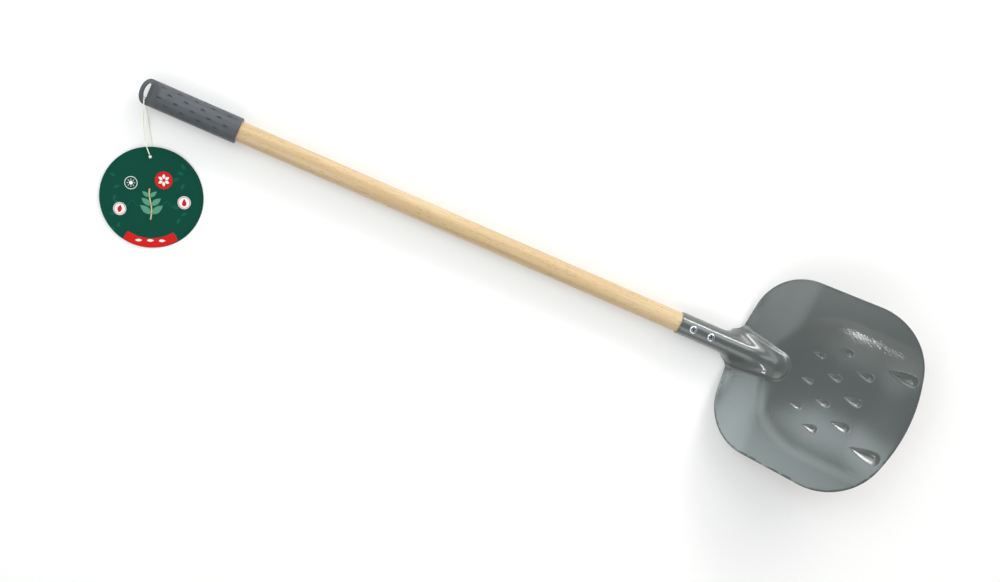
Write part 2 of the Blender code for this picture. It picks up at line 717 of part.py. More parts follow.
def build_string(floor, parent, finish):
    """Tube along a smooth curve through the route's points."""
    route = [Vector((reach, -aside, floor + height)) for reach, aside, height in STRING_ROUTE]
    dense = []
    padded = [route[0] * 2 - route[1], *route, route[-1] * 2 - route[-2]]
    for a, b, c, d in zip(padded, padded[1:], padded[2:], padded[3:]):
        for i in range(16):
            t = i / 16
            dense.append(
                0.5 * (2 * b + (c - a) * t + (2 * a - 5 * b + 4 * c - d) * t**2 + (3 * b - a - 3 * c + d) * t**3)
            )
    dense.append(route[-1])
    lengths = np.cumsum([0.0] + [(b - a).length for a, b in zip(dense, dense[1:])])
    count = round(lengths[-1] / STRING_STEP)
    curve = bpy.data.curves.new("tag_string", "CURVE")
    curve.dimensions = "3D"
    curve.bevel_depth = STRING_DIAMETER / 2
    curve.bevel_resolution = 2
    curve.use_fill_caps = True
    spline = curve.splines.new("POLY")
    spline.points.add(count)
    for i in range(count + 1):
        at = lengths[-1] * i / count
        place = [float(np.interp(at, lengths, [p[axis] for p in dense])) for axis in range(3)]
        spline.points[i].co = (*place, 1.0)
    string = bpy.data.objects.new("tag_string", curve)
    bpy.context.scene.collection.objects.link(string)
    string.parent = parent
    string.data.materials.append(finish)
    return string


def build_knot(floor, parent, finish):
    """Knot on the front leaf, with the string's stem down through the holes."""
    stem = STRING_DIAMETER / 2
    low = floor + CLEARANCE
    top = floor + TAG_OVER_STRING + 2 * TAG_SHEET + 2 * CLEARANCE
    profile = [(low, stem), (top + KNOT_HEIGHT * 0.04, stem)]
    for i in range(1, 9):
        turn = pi * i / 9
        profile.append((top + KNOT_HEIGHT * (1 - cos(turn)) / 2, KNOT_RADIUS * sin(turn)))
    knot = mesh_object("string_knot", *turned(profile, 14, "Z"), parent, finish)
    knot.location = (TAG_REACH, 0.0, 0.0)
    return knot


def lowest(obj, graph, matrix):
    mesh = obj.evaluated_get(graph).to_mesh()
    points = np.empty(len(mesh.vertices) * 3, np.float32)
    mesh.vertices.foreach_get("co", points)
    place = np.array(matrix @ obj.matrix_world)
    return points.reshape(-1, 3).astype(float) @ place[:3, :3].T + place[:3, 3]


def settle(frame, shovel):
    """Tips the shovel until its grip and its neck both touch the floor, and centres its box."""
    bpy.context.view_layer.update()
    graph = bpy.context.evaluated_depsgraph_get()
    clouds = {obj.name: lowest(obj, graph, Matrix.Identity(4)) for obj in shovel}
    tip = 0.0
    for _ in range(12):
        turn = np.array(Matrix.Rotation(tip, 3, "Y"))
        grip = clouds["grip"] @ turn.T
        blade = clouds["blade"] @ turn.T
        near, far = grip[grip[:, 2].argmin()], blade[blade[:, 2].argmin()]
        tip += atan((far[2] - near[2]) / (far[0] - near[0]))
    turn = np.array(Matrix.Rotation(tip, 3, "Y"))
    whole = np.vstack(list(clouds.values())) @ turn.T
    low, high = whole.min(axis=0), whole.max(axis=0)
    frame.rotation_euler = Euler((0.0, tip, 0.0))
    frame.location = (-(low[0] + high[0]) / 2, -(low[1] + high[1]) / 2, -low[2])


def main():
    for old in list(bpy.data.objects):
        bpy.data.objects.remove(old)
    steel = material("painted_steel", (0.20, 0.225, 0.225), 0.28, 0.0)
    beech = material("beech", (0.78, 0.57, 0.33), 0.5, 0.0)
    rubber = material("rubber", (0.13, 0.14, 0.155), 0.5, 0.0)
    zinc = material("zinc", (0.75, 0.76, 0.78), 0.25, 1.0)
    card = material("green_card", (0.0, 0.07, 0.045), 0.45, 0.0)
    elastic = material("elastic", (0.84, 0.87, 0.76), 0.7, 0.0)
    material("cutter", (1.0, 0.2, 0.1), 0.5, 0.0)

    frame = bpy.data.objects.new("shovel_frame", None)
    bpy.context.scene.collection.objects.link(frame)
    shovel = [
        build_blade(frame, steel),
        build_handle(frame, beech),
        build_grip(frame, rubber),
        build_screw("upper_screw", SCREW_AT, frame, zinc),
        build_screw("lower_screw", SCREW_AT + SCREW_PITCH, frame, zinc),
    ]
    settle(frame, shovel)
    bpy.context.view_layer.update()

    swing = bpy.data.objects.new("tag_swing_axis", None)
    bpy.context.scene.collection.objects.link(swing)
    swing.location = frame.matrix_world @ EYE_BAR
    swing.rotation_euler = (0.0, 0.0, TAG_DIRECTION)
    floor = -swing.location.z
    under = floor + TAG_OVER_STRING
    build_leaf("tag_back_leaf", LEAF_TURN + BACK_LEAF_TURN, under, swing, card)
    build_leaf("tag_front_leaf", LEAF_TURN, under + TAG_SHEET + CLEARANCE, swing, card)
    build_string(floor, swing, elastic)
    build_knot(floor, swing, elastic)


main()
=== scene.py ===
"""Looks of a child's garden shovel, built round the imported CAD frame.

The blade, grip, handle, screws, string and tag are finer versions of the CAD solids, made from
the same sizes. Sizes are metres.
"""

from math import acos, atan, atan2, ceil, cos, pi, radians, sin, sqrt, tan

import bmesh
import bpy
import numpy as np
from mathutils import Matrix, Vector
from mathutils.geometry import delaunay_2d_cdt


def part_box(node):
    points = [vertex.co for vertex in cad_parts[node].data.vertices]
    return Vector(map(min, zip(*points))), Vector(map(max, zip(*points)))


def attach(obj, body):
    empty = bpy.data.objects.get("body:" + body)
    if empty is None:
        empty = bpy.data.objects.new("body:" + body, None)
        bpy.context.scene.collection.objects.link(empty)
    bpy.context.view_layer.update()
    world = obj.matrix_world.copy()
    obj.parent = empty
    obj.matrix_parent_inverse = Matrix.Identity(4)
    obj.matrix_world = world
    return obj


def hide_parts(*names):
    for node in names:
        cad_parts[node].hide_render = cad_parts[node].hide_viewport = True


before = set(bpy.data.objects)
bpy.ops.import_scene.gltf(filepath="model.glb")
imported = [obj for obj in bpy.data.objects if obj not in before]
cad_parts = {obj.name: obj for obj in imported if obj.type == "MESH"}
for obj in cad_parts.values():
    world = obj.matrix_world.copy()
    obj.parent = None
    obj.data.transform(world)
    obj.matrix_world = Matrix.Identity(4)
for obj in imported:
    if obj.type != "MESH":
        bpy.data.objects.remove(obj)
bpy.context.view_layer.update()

# Wooden handle
HANDLE_RADIUS = 0.010
HANDLE_SHOWN = 0.47832
HANDLE_IN_SOCKET = 0.046
HANDLE_IN_GRIP = 0.0785
HANDLE_END = ((0.0, 0.0086), (0.0004, 0.0094), (0.0012, HANDLE_RADIUS))

# Tilt of the shovel as it lies, gap between fitted pieces, and the angle of a sharp edge
PITCH = radians(0.144)
CLEARANCE = 0.0003
SHARP_FROM = radians(40)

# Rolled socket and the bend into the blade
SHEET = 0.0012
SOCKET_LENGTH = 0.058
TUBE_RADIUS = HANDLE_RADIUS + CLEARANCE + SHEET / 2
STRIP_HALF_WIDTH = pi * TUBE_RADIUS - 0.00025
OPENING_START = 0.0432
OPENING_LENGTH = 0.0300
CURL_END = 0.018
CURL_FADE = 0.012
FLARE_BEHIND = 0.006
FLARE_RUN = 0.010
BEND_LENGTH = 0.034
BLADE_LIFT = radians(20.0)

# Outline of the blade
NECK_AT = 0.0043
NECK_HALF_WIDTH = 0.0208
NECK_RADIUS = 0.004
SEAM_RADIUS = 0.012
SHOULDER_SLOPE = radians(6.45)
SHOULDER_HALF_WIDTH = 0.0930
SHOULDER_RADIUS = 0.0509
TIP_HALF_WIDTH = 0.0998
TIP_CORNER_AT = 0.1719
TIP_CORNER_RADIUS = 0.0654
TIP_POINT_AT = 0.1979
TIP_RADIUS = 0.1658

# Pressed form of the blade
HEEL_LEVEL = -0.0125
HEEL_RUN = 0.012
HEEL_BLEND = 0.006
SHEET_LEVEL = -0.0095
FLANGE_RISE = 0.0055
FLANGE_START = 0.008
FLANGE_RUN = 0.052
SIDE_FLARE = 0.012
BOWL_DEPTH = 0.0068
BOWL_CENTRE = 0.108
BOWL_RADIUS = 0.070
BOWL_EDGE = 0.0012
BOWL_FADE_START = 0.145
BOWL_FADE_RUN = 0.05
FROG_STEP = 0.0026
FROG_DOME = 0.0040
FROG_HALF_WIDTH = 0.0215
FROG_NOSE_RADIUS = 0.0145
FROG_NOSE_AT = 0.0490
FROG_WALL = 0.0045
FROG_ROUND = 1.6
RIDGE_BLEND = 0.0065
RIDGE_TURN = 0.8

# Embossed drops: distance from the bend, places across, length, end radius, depth
DROP_PITCH = 0.0284
DROP_ROWS = (
    (0.0835, (-1.0, 0.0, 1.0), 0.0135, 0.0029, 0.0014),
    (0.1062, (-1.5, -0.5, 0.5, 1.5), 0.0165, 0.0036, 0.0017),
    (0.1322, (-1.0, 0.0, 1.0), 0.0210, 0.0043, 0.0021),
    (0.1655, (-1.52, 1.52), 0.0340, 0.0064, 0.0029),
)
DROP_TAPER = 1.15
DROP_WALL = 1.5
DROP_MARGIN = 0.0012
EDGE_ROUND = 0.00035

# Spacing of the blade's points, the widest place of the blank, and the fine patch round the bend
PLAIN_SPACING = 0.0019
FROG_SPACING = 0.0011
DROP_SPACING = 0.0007
BLANK_REACH = 0.101
PATCH_BEHIND = 0.018
PATCH_AHEAD = 0.078
PATCH_ASIDE = 0.034
OUTLINE_STEP = 0.0022

# Screws
SCREW_PLACES = {"upper_screw": 0.0136, "lower_screw": 0.0334}
HEAD_RADIUS = 0.0042
HEAD_HEIGHT = 0.0026
SCREW_LENGTH = 0.016
SHANK_RADIUS = 0.0020
SHANK_TAPER = 0.004
SHANK_POINT = 0.0003
RECESS_TURN = radians(12)
RECESS_REACH = 0.0024
RECESS_STEP = 0.00003

# Rubber grip
GRIP_RADIUS = 0.0131
GRIP_LENGTH = 0.1027
GRIP_RIM_ROUND = 0.0009
GRIP_DOME = 0.008
EYE_THICKNESS = 0.007
EYE_SCOOP = 0.014
EYE_WALL = 0.0038
SLOT_HALF_LENGTH = 0.0085
SLOT_WIDTH = 0.0052
BORE_RADIUS = HANDLE_RADIUS + CLEARANCE
BORE_TURN = radians(1.3)
DIMPLE_ROWS = 14
DIMPLE_FIRST = 0.0124
DIMPLE_PITCH = 0.0170
DIMPLE_LENGTH = 0.0056
DIMPLE_RADIUS = 0.0011
DIMPLE_DEPTH = 0.0013
DIMPLE_SPACING = 0.00045
GRIP_SPACING = 0.0012

# Tag and its string
TAG_RADIUS = 0.050
TAG_SHEET = 0.0005
TAG_HOLE_RADIUS = 0.0016
TAG_HOLE_INSET = 0.0098
TAG_DIRECTION = radians(-64.7)
LEAF_TURN = radians(-3.7)
BACK_LEAF_TURN = radians(2.5)
TAG_REACH = 0.0533
TAG_OVER_STRING = 0.0015
STRING_DIAMETER = 0.0011
STRING_STEP = 0.0026
KNOT_WIDTH = 0.0034
KNOT_LIFT = 0.0006
KNOT_WAVE = 0.00055
KNOT_STEM = 0.0008

GRIP_RIM_X = -HANDLE_SHOWN
GRIP_END_X = GRIP_RIM_X - GRIP_LENGTH
DOME_X = GRIP_END_X + GRIP_DOME
SLOT_FLAT_X = GRIP_END_X + EYE_WALL + SLOT_WIDTH
TUBE_OUTSIDE = TUBE_RADIUS + SHEET / 2

# Where the socket's mouth stands in the frame, read from the handle that fills it
_low, _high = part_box("handle")
_middle = (HANDLE_IN_SOCKET - HANDLE_SHOWN - HANDLE_IN_GRIP) / 2
_centre = Vector(((_low[0] + _high[0]) / 2, 0.0, (_low[2] + _high[2]) / 2))
_to_middle = Matrix.Translation((-_middle, 0.0, 0.0))
SHOVEL = Matrix.Translation(_centre) @ Matrix.Rotation(PITCH, 4, "Y") @ _to_middle
EYE_BAR = SHOVEL @ Vector((SLOT_FLAT_X + 0.0001, -(SLOT_HALF_LENGTH + GRIP_RADIUS) / 2, 0.0))

# Camera, in the shovel's own lengths from the socket's mouth
CAMERA_AT = Vector((-0.3394, 0.1214, 1.3874))
CAMERA_RIGHT = Vector((0.9126, 0.4049, 0.0568))
CAMERA_AHEAD = Vector((0.1132, -0.1169, -0.9867))
CAMERA_LENS = 50.4

# Floor: its lift towards white, and where that starts to grow and is whole
FLOOR_REACH = 6.0
FLOOR_LIFT = 0.15
FLOOR_WHITE_FROM = 0.40
FLOOR_WHITE_AT = 1.30

# World light, and the angles from the camera's axis over which it weakens
WORLD_LEVEL = 0.48
WORLD_LEVEL_BEHIND_CAMERA = 0.12
WORLD_FADE_FROM = radians(48)
WORLD_FADE_TO = radians(14)

# Softboxes: angle off the camera's axis, turn round it, half width, half height, radiance, colour
LIGHT_DISTANCE = 2.2
LIT_POINT = Vector((0.10, 0.0, 0.0))
SOFTBOXES = {
    "key": (60, 50, 22, 7, 15.0, (1.0, 0.99, 0.97)),
    "upper": (54, 78, 28, 22, 2.3, (1.0, 1.0, 1.0)),
    "left": (36, 143, 18, 18, 3.9, (0.87, 1.0, 1.01)),
    "ceiling": (17, 120, 13, 12, 2.9, (0.87, 1.0, 1.01)),
    "right": (38, 28, 16, 15, 3.0, (0.94, 1.0, 1.0)),
    "west": (42, 206, 20, 15, 1.6, (0.94, 1.0, 1.0)),
    "south": (56, 274, 22, 24, 1.6, (0.94, 1.0, 1.0)),
    "spark": (46, 232, 3.5, 2.2, 22.0, (1.0, 1.0, 1.0)),
}


def smooth(t):
    t = np.clip(t, 0.0, 1.0)
    return t * t * (3.0 - 2.0 * t)


def smooth_max(a, b, width):
    near = np.maximum(width - np.abs(a - b), 0.0)
    return np.maximum(a, b) + near * near / (4.0 * width)


# Meshes


def new_object(name, data):
    made = bpy.data.objects.new(name, data)
    bpy.context.scene.collection.objects.link(made)
    return made


def mesh_object(name, points, faces, body, slot, material):
    mesh = bpy.data.meshes.new(name)
    mesh.from_pydata([tuple(map(float, p)) for p in points], [], [tuple(map(int, f)) for f in faces])
    bm = bmesh.new()
    bm.from_mesh(mesh)
    bmesh.ops.remove_doubles(bm, verts=bm.verts, dist=1e-6)
    bmesh.ops.recalc_face_normals(bm, faces=bm.faces)
    if bm.calc_volume(signed=True) < 0:
        bmesh.ops.reverse_faces(bm, faces=bm.faces)
    bm.to_mesh(mesh)
    bm.free()
    mesh.shade_smooth()
    mesh.set_sharp_from_angle(angle=SHARP_FROM)
    mesh.materials.append(material)
    made = new_object(name, mesh)
    if body:
        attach(made, body)
    return made


def cut(target, points, faces, turn=0.0):
    """Cuts a closed shape out of an object and leaves no modifier behind."""
    tool = mesh_object("cutter", points, faces, None, None, target.data.materials[0])
    tool.data.transform(Matrix.Rotation(turn, 4, "X"))
    step = target.modifiers.new("cut", "BOOLEAN")
    step.operation = "DIFFERENCE"
    step.solver = "EXACT"
    step.object = tool
    graph = bpy.context.evaluated_depsgraph_get()
    made = bpy.data.meshes.new_from_object(target.evaluated_get(graph))
    target.modifiers.clear()
    old = target.data
    target.data = made
    bpy.data.meshes.remove(old)
    bpy.data.objects.remove(tool)


def between(first, second, count):
    """Faces between two rings of points, from the number of each ring's first point."""
    steps = [(i, (i + 1) % count) for i in range(count)]
    return [(first + i, first + k, second + k, second + i) for i, k in steps]


def turned(profile, sides, along="X"):
    """Points and faces of a turned body from (place on the axis, radius) pairs."""
    points = []
    for place, radius in profile:
        for i in range(sides):
            turn = 2 * pi * i / sides
            ring = (place, radius * sin(turn), radius * cos(turn))
            points.append(ring if along == "X" else (ring[1], ring[2], ring[0]))
    faces = []
    for row in range(len(profile) - 1):
        faces += between(row * sides, (row + 1) * sides, sides)
    faces.append(tuple(range(sides)))
    faces.append(tuple(range((len(profile) - 1) * sides, len(profile) * sides)))
    return points, faces


def prism(outline, low, high):
    count = len(outline)
    points = [(x, y, low) for x, y in outline] + [(x, y, high) for x, y in outline]
    return points, [tuple(range(count)), tuple(range(count, 2 * count)), *between(0, count, count)]


def rounded(corners, step):
    """Points along a chain of corners (x, y, radius), each rounded by its own arc."""
    points = [np.array(corners[0][:2])]

    def run_to(target):
        start = points[-1]
        count = max(1, ceil(np.linalg.norm(target - start) / step - 1e-6))
        for i in range(1, count + 1):
            points.append(start + (target - start) * i / count)

    for before, corner, after in zip(corners, corners[1:], corners[2:]):
        middle = np.array(corner[:2])
        back = np.array(before[:2]) - middle
        ahead = np.array(after[:2]) - middle
        back /= np.linalg.norm(back)
        ahead /= np.linalg.norm(ahead)
        half = acos(max(-1.0, min(1.0, float(back @ ahead)))) / 2
        radius = corner[2]
        first = middle + back * radius / tan(half)
        centre = middle + (back + ahead) / np.linalg.norm(back + ahead) * radius / sin(half)
        run_to(first)
        turn = pi - 2 * half
        side = 1.0 if back[0] * ahead[1] - back[1] * ahead[0] < 0 else -1.0
        count = max(8, ceil(radius * turn / step))
        spoke = first - centre
        for i in range(1, count + 1):
            angle = side * turn * i / count
            turned_x = spoke[0] * cos(angle) - spoke[1] * sin(angle)
            turned_y = spoke[0] * sin(angle) + spoke[1] * cos(angle)
            points.append(centre + np.array((turned_x, turned_y)))
    run_to(np.array(corners[-1][:2]))
    return np.array(points)


def inside(points, loop):
    """Which points lie inside a closed loop, by counting crossings."""
    found = np.zeros(len(points), bool)
    for (ax, ay), (bx, by) in zip(loop, np.roll(loop, -1, axis=0)):
        if ay == by:
            continue
        spans = (ay > points[:, 1]) != (by > points[:, 1])
        found ^= spans & (points[:, 0] < ax + (points[:, 1] - ay) / (by - ay) * (bx - ax))
    return found


def far_from(points, others, spacing):
    """The points that keep their distance from the others."""
    keep = np.ones(len(points), bool)
    for first in range(0, len(points), 400):
        part = points[first : first + 400]
        gap = np.sum((part[:, None] - others[None]) ** 2, axis=2).min(axis=1)
        keep[first : first + 400] = gap > spacing * spacing
    return points[keep]


def on_sheet(points, outline, holes):
    found = inside(points, outline)
    for hole in holes:
        found &= ~inside(points, hole)
    return found


def triangulate(outline, holes, rings, lattices):
    """Delaunay triangles of a flat blank. lattices holds (points, spacing) pairs, finest first."""
    edges = []
    placed = []
    for loop in (outline, *holes, *rings):
        first = sum(len(done) for done in placed)
        count = len(loop)
        placed.append(loop)
        edges += [(first + i, first + (i + 1) % count) for i in range(count)]
    kept = np.concatenate(placed)
    for points, spacing in lattices:
        points = points[on_sheet(points, outline, holes)]
        kept = np.vstack((kept, far_from(points, kept, spacing * 0.62)))
    made = delaunay_2d_cdt([Vector(p) for p in kept], edges, [], 0, 1e-7)
    points = np.array([tuple(p) for p in made[0]])
    faces = np.array([tuple(f) for f in made[2]])
    return points, faces[on_sheet(points[faces].mean(axis=1), outline, holes)]


def rim_edges(faces):
    """Edges that a single face has."""
    directed = {(int(a), int(b)) for f in faces for a, b in zip(f, np.roll(f, -1))}
    return [(a, b) for a, b in directed if (b, a) not in directed]


def both_sides(faces, count):
    """The faces, and their likes turned over on the next count points."""
    faces = [tuple(map(int, f)) for f in faces]
    return faces + [tuple(count + i for i in f[::-1]) for f in faces]


def lattice(x0, x1, y0, y1, spacing):
    """A lattice of points in staggered rows."""
    rows = ceil((y1 - y0) / (spacing * sqrt(0.75))) + 1
    columns = ceil((x1 - x0) / spacing) + 1
    j, i = np.meshgrid(np.arange(rows), np.arange(columns), indexing="ij")
    x = x0 + (i + 0.5 * (j % 2)) * spacing
    y = y0 + j * spacing * sqrt(0.75)
    return np.stack((x.ravel(), y.ravel()), axis=1)


def unit(rows):
    return rows / np.linalg.norm(rows, axis=1)[:, None]


def circle(x, y, radius, count):
    turns = 2 * pi * np.arange(count) / count
    return np.stack((x + radius * np.cos(turns), y + radius * np.sin(turns)), axis=1)


# The blade's form


def drop_half_width(p, length, radius):
    """Half the width of a drop, at a distance p from its pointed tail."""
    tail = length - radius
    narrow = radius * np.sin(pi / 2 * np.clip(p / tail, 0.0, 1.0)) ** DROP_TAPER
    end = np.sqrt(np.maximum(radius**2 - (p - tail) ** 2, 0.0))
    return np.where(p < tail, narrow, end)


def drop_depth(p, q, length, radius, depth):
    """Depth of a pressed drop at a point p along from its tail and q aside.

    Its walls fall from a crisp rim to a rounded keel, and it grows shallow towards the tail.
    """
    tail = length - radius
    width = np.maximum(drop_half_width(p, length, radius), 1e-7)
    share = np.where(p < tail, np.abs(q) / width, np.hypot(p - tail, q) / radius)
    floor = np.where(p < tail, width / radius, 1.0)
    return np.where(p > 0.0, depth * floor * (1.0 - np.minimum(share, 1.0) ** DROP_WALL), 0.0)


def drop_ring(x, y, length, radius, side_points, end_points):
    """Outline of a drop whose tail is at x, y."""
    tail = length - radius
    along = tail * np.arange(1, side_points) / side_points
    turns = pi * (np.arange(end_points + 1) / end_points) - pi / 2
    upper = [(p, float(drop_half_width(p, length, radius))) for p in along]
    end = [(tail + radius * cos(t), radius * sin(t)) for t in turns]
    return np.array([(0.0, 0.0), *[(p, -w) for p, w in upper], *end, *upper[::-1]]) + (x, y)


def bend_angle(w):
    """Lift of the blade's centre line at a distance w from the socket's mouth."""
    return BLADE_LIFT * smooth((w - SOCKET_LENGTH + BEND_LENGTH / 2) / BEND_LENGTH)


LINE_PAST = 0.01
LINE_W = np.linspace(-LINE_PAST, SOCKET_LENGTH + TIP_POINT_AT + LINE_PAST, 2001)
_steps = (bend_angle(LINE_W[1:]) + bend_angle(LINE_W[:-1])) / 2
_step = LINE_W[1] - LINE_W[0]
LINE_X = np.concatenate(((0.0,), np.cumsum(np.cos(_steps)))) * _step - LINE_PAST
LINE_Z = np.concatenate(((0.0,), np.cumsum(np.sin(_steps)))) * _step


def socket_top(w):
    """Height of the socket's straight top over the centre line, square to that line."""
    return (TUBE_RADIUS - np.interp(w, LINE_W, LINE_Z)) / np.cos(bend_angle(w))


def pressed_height(w, v):
    """Height of the pressed sheet over the centre line, v aside from it."""
    u = w - SOCKET_LENGTH
    side = np.abs(v)
    flange = SHEET_LEVEL + FLANGE_RISE * smooth((u - FLANGE_START) / FLANGE_RUN)
    flange = flange + SIDE_FLARE * (side / TIP_HALF_WIDTH) ** 2
    from_centre = np.where(u < BOWL_CENTRE, np.hypot(u - BOWL_CENTRE, side), side)
    bowl = BOWL_DEPTH * (1.0 - (from_centre / BOWL_RADIUS) ** 2)
    fade = 1.0 - 0.5 * smooth((u - BOWL_FADE_START) / BOWL_FADE_RUN)
    bowl = smooth_max(bowl * fade, 0.0, BOWL_EDGE)
    share = np.clip(u / FROG_NOSE_AT, 0.0, 1.0)
    half = FROG_HALF_WIDTH + (FROG_NOSE_RADIUS - FROG_HALF_WIDTH) * share
    from_frog = np.where(u < FROG_NOSE_AT, side, np.hypot(u - FROG_NOSE_AT, side)) - half
    frog = FROG_STEP * (1.0 - smooth(from_frog / FROG_WALL + 0.5))
    frog = frog + FROG_DOME * (1.0 - (1.0 - np.clip(-from_frog / half, 0.0, 1.0)) ** FROG_ROUND)
    level = flange - bowl + frog
    shoulder = TUBE_RADIUS * RIDGE_TURN
    fall = TUBE_RADIUS - np.sqrt(np.maximum(TUBE_RADIUS**2 - np.minimum(side, shoulder) ** 2, 0.0))
    fall = fall + np.maximum(side - shoulder, 0.0) * RIDGE_TURN / sqrt(1 - RIDGE_TURN * RIDGE_TURN)
    return smooth_max(level, socket_top(w) - fall, RIDGE_BLEND)


def pressed_drops(w, v):
    """Depth of the embossed drops under the pressed sheet."""
    level = np.zeros_like(w)
    for at, places, length, radius, depth in DROP_ROWS:
        for place in places:
            p = w - SOCKET_LENGTH - (at - length / 2)
            level = level + drop_depth(p, v - place * DROP_PITCH, length, radius, depth)
    return level


def rolled_section(w, v):
    """Place aside and height where the section turns from the tube's round into the pressed form."""
    opened = smooth((w - OPENING_START) / OPENING_LENGTH)
    steps = 160
    nudge = 5e-5
    aside = np.zeros_like(w)
    height = (1.0 - opened) * socket_top(w) + opened * pressed_height(w, np.zeros_like(w))
    past_neck = smooth((w - SOCKET_LENGTH + FLARE_BEHIND) / FLARE_RUN)
    for k in range(steps):
        t = (k + 0.5) / steps * v
        slope = (pressed_height(w, t + nudge) - pressed_height(w, t - nudge)) / (2 * nudge)
        flared = past_neck * smooth((np.abs(t) - CURL_END) / CURL_FADE)
        turn = opened * np.arctan(slope) - (1.0 - opened) * (1.0 - flared) * t / TUBE_RADIUS
        length = (1.0 - opened + opened * np.hypot(1.0, slope)) * v / steps
        aside = aside + np.cos(turn) * length
        height = height + np.sin(turn) * length
    wing = past_neck * smooth((np.abs(v) - CURL_END - CURL_FADE / 2) / (2.5 * CURL_FADE))
    return aside + wing * (v - aside), height + wing * (pressed_height(w, v) - height)


def sheet_points(w, v):
    """Points of the sheet's middle surface for places (w, v) of the flat blank.

    Across the socket the section turns on the tube's radius. Past the bend it follows the
    pressed height. Between the two its direction blends from one to the other.
    """
    aside = np.array(v)
    height = pressed_height(w, v)
    rolled = w < OPENING_START + OPENING_LENGTH
    aside[rolled], height[rolled] = rolled_section(w[rolled], v[rolled])
    height = height - pressed_drops(w, v)
    lift = bend_angle(w)
    heel = (HEEL_LEVEL - np.interp(w, LINE_W, LINE_Z)) / np.cos(lift)
    gate = smooth((w - OPENING_START) / HEEL_RUN)
    height = height + gate * (smooth_max(height, heel, HEEL_BLEND) - height)
    x = np.interp(w, LINE_W, LINE_X) - height * np.sin(lift)
    z = np.interp(w, LINE_W, LINE_Z) + height * np.cos(lift)
    return np.stack((x, aside, z), axis=1)


def sheet_normals(w, v):
    nudge = 1e-4
    along = sheet_points(w + nudge, v) - sheet_points(w - nudge, v)
    across = sheet_points(w, v + nudge) - sheet_points(w, v - nudge)
    return unit(np.cross(along, across))


def blank_outline(step):
    """Outline of the flat blank: a strip that rolls into the socket, and the blade."""
    neck = SOCKET_LENGTH + NECK_AT
    shoulder = neck + (SHOULDER_HALF_WIDTH - NECK_HALF_WIDTH) * tan(SHOULDER_SLOPE)
    corners = (
        (0.0, STRIP_HALF_WIDTH, 0.0),
        (OPENING_START, STRIP_HALF_WIDTH, SEAM_RADIUS),
        (neck, NECK_HALF_WIDTH, NECK_RADIUS),
        (shoulder, SHOULDER_HALF_WIDTH, SHOULDER_RADIUS),
        (SOCKET_LENGTH + TIP_CORNER_AT, TIP_HALF_WIDTH, TIP_CORNER_RADIUS),
        (SOCKET_LENGTH + TIP_POINT_AT, 0.0, TIP_RADIUS),
        (SOCKET_LENGTH + TIP_CORNER_AT, -TIP_HALF_WIDTH, 0.0),
    )
    points = rounded(corners, step)
    half = points[points[:, 1] > step / 3]
    to_tip = atan2(TIP_HALF_WIDTH, TIP_POINT_AT - TIP_CORNER_AT)
    tip = SOCKET_LENGTH + TIP_POINT_AT - TIP_RADIUS * (1 / sin(to_tip) - 1)
    mouth = np.linspace(-STRIP_HALF_WIDTH, STRIP_HALF_WIDTH, 49)[1:-1]
    mouth = np.stack((np.zeros_like(mouth), mouth), axis=1)
    return np.vstack((mouth, half, ((tip, 0.0),), half[::-1] * (1.0, -1.0)))


def rounded_sheet(points, faces):
    """A sheet of even thickness with a softly rounded edge, as one closed mesh."""
    middle = sheet_points(points[:, 0], points[:, 1])
    normal = sheet_normals(points[:, 0], points[:, 1])
    count = len(points)
    rim = rim_edges(faces)
    onward = dict(rim)
    backward = {b: a for a, b in rim}
    front = middle + normal * SHEET / 2
    back = middle - normal * SHEET / 2
    skin = [*front, *back]
    solid = both_sides(faces, count)
    rows = {}
    for a in onward:
        outward = np.cross(middle[onward[a]] - middle[backward[a]], normal[a])
        outward /= max(np.linalg.norm(outward), 1e-9)
        row = [a]
        for turn in (-0.55, 0.0, 0.55):
            row.append(len(skin))
            rise = normal[a] * SHEET / 2 * -sin(turn * pi / 2)
            skin.append(middle[a] + rise + outward * EDGE_ROUND * cos(turn * pi / 2))
        row.append(count + a)
        rows[a] = row
    for a, b in rim:
        for i in range(4):
            solid.append((rows[b][i], rows[a][i], rows[a][i + 1], rows[b][i + 1]))
    return np.array(skin), solid


def build_blade(material):
    outline = blank_outline(OUTLINE_STEP)
    holes = [circle(x, 0.0, SHANK_RADIUS + CLEARANCE, 24) for x in SCREW_PLACES.values()]
    rings = []
    fine = []
    for at, places, length, radius, _ in DROP_ROWS:
        tail = SOCKET_LENGTH + at - length / 2
        for place in places:
            y = place * DROP_PITCH
            rings.append(drop_ring(tail, y, length, radius, 14, 14))
            ends = tail - DROP_MARGIN, tail + length + DROP_MARGIN
            sides = y - radius - DROP_MARGIN, y + radius + DROP_MARGIN
            fine.append(lattice(*ends, *sides, DROP_SPACING))
    ends = SOCKET_LENGTH - PATCH_BEHIND, SOCKET_LENGTH + PATCH_AHEAD
    patch = lattice(*ends, -PATCH_ASIDE, PATCH_ASIDE, FROG_SPACING)
    tip = SOCKET_LENGTH + TIP_POINT_AT
    plain = lattice(0.0, tip, -BLANK_REACH, BLANK_REACH, PLAIN_SPACING)
    lattices = ((np.vstack(fine), DROP_SPACING), (patch, FROG_SPACING), (plain, PLAIN_SPACING))
    points, faces = triangulate(outline, holes, rings, lattices)
    skin, solid = rounded_sheet(points, faces)
    blade = mesh_object("painted_blade", skin, solid, "shovel", "painted_steel", material)
    blade.data.transform(SHOVEL)
    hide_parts("blade")


# The other pieces


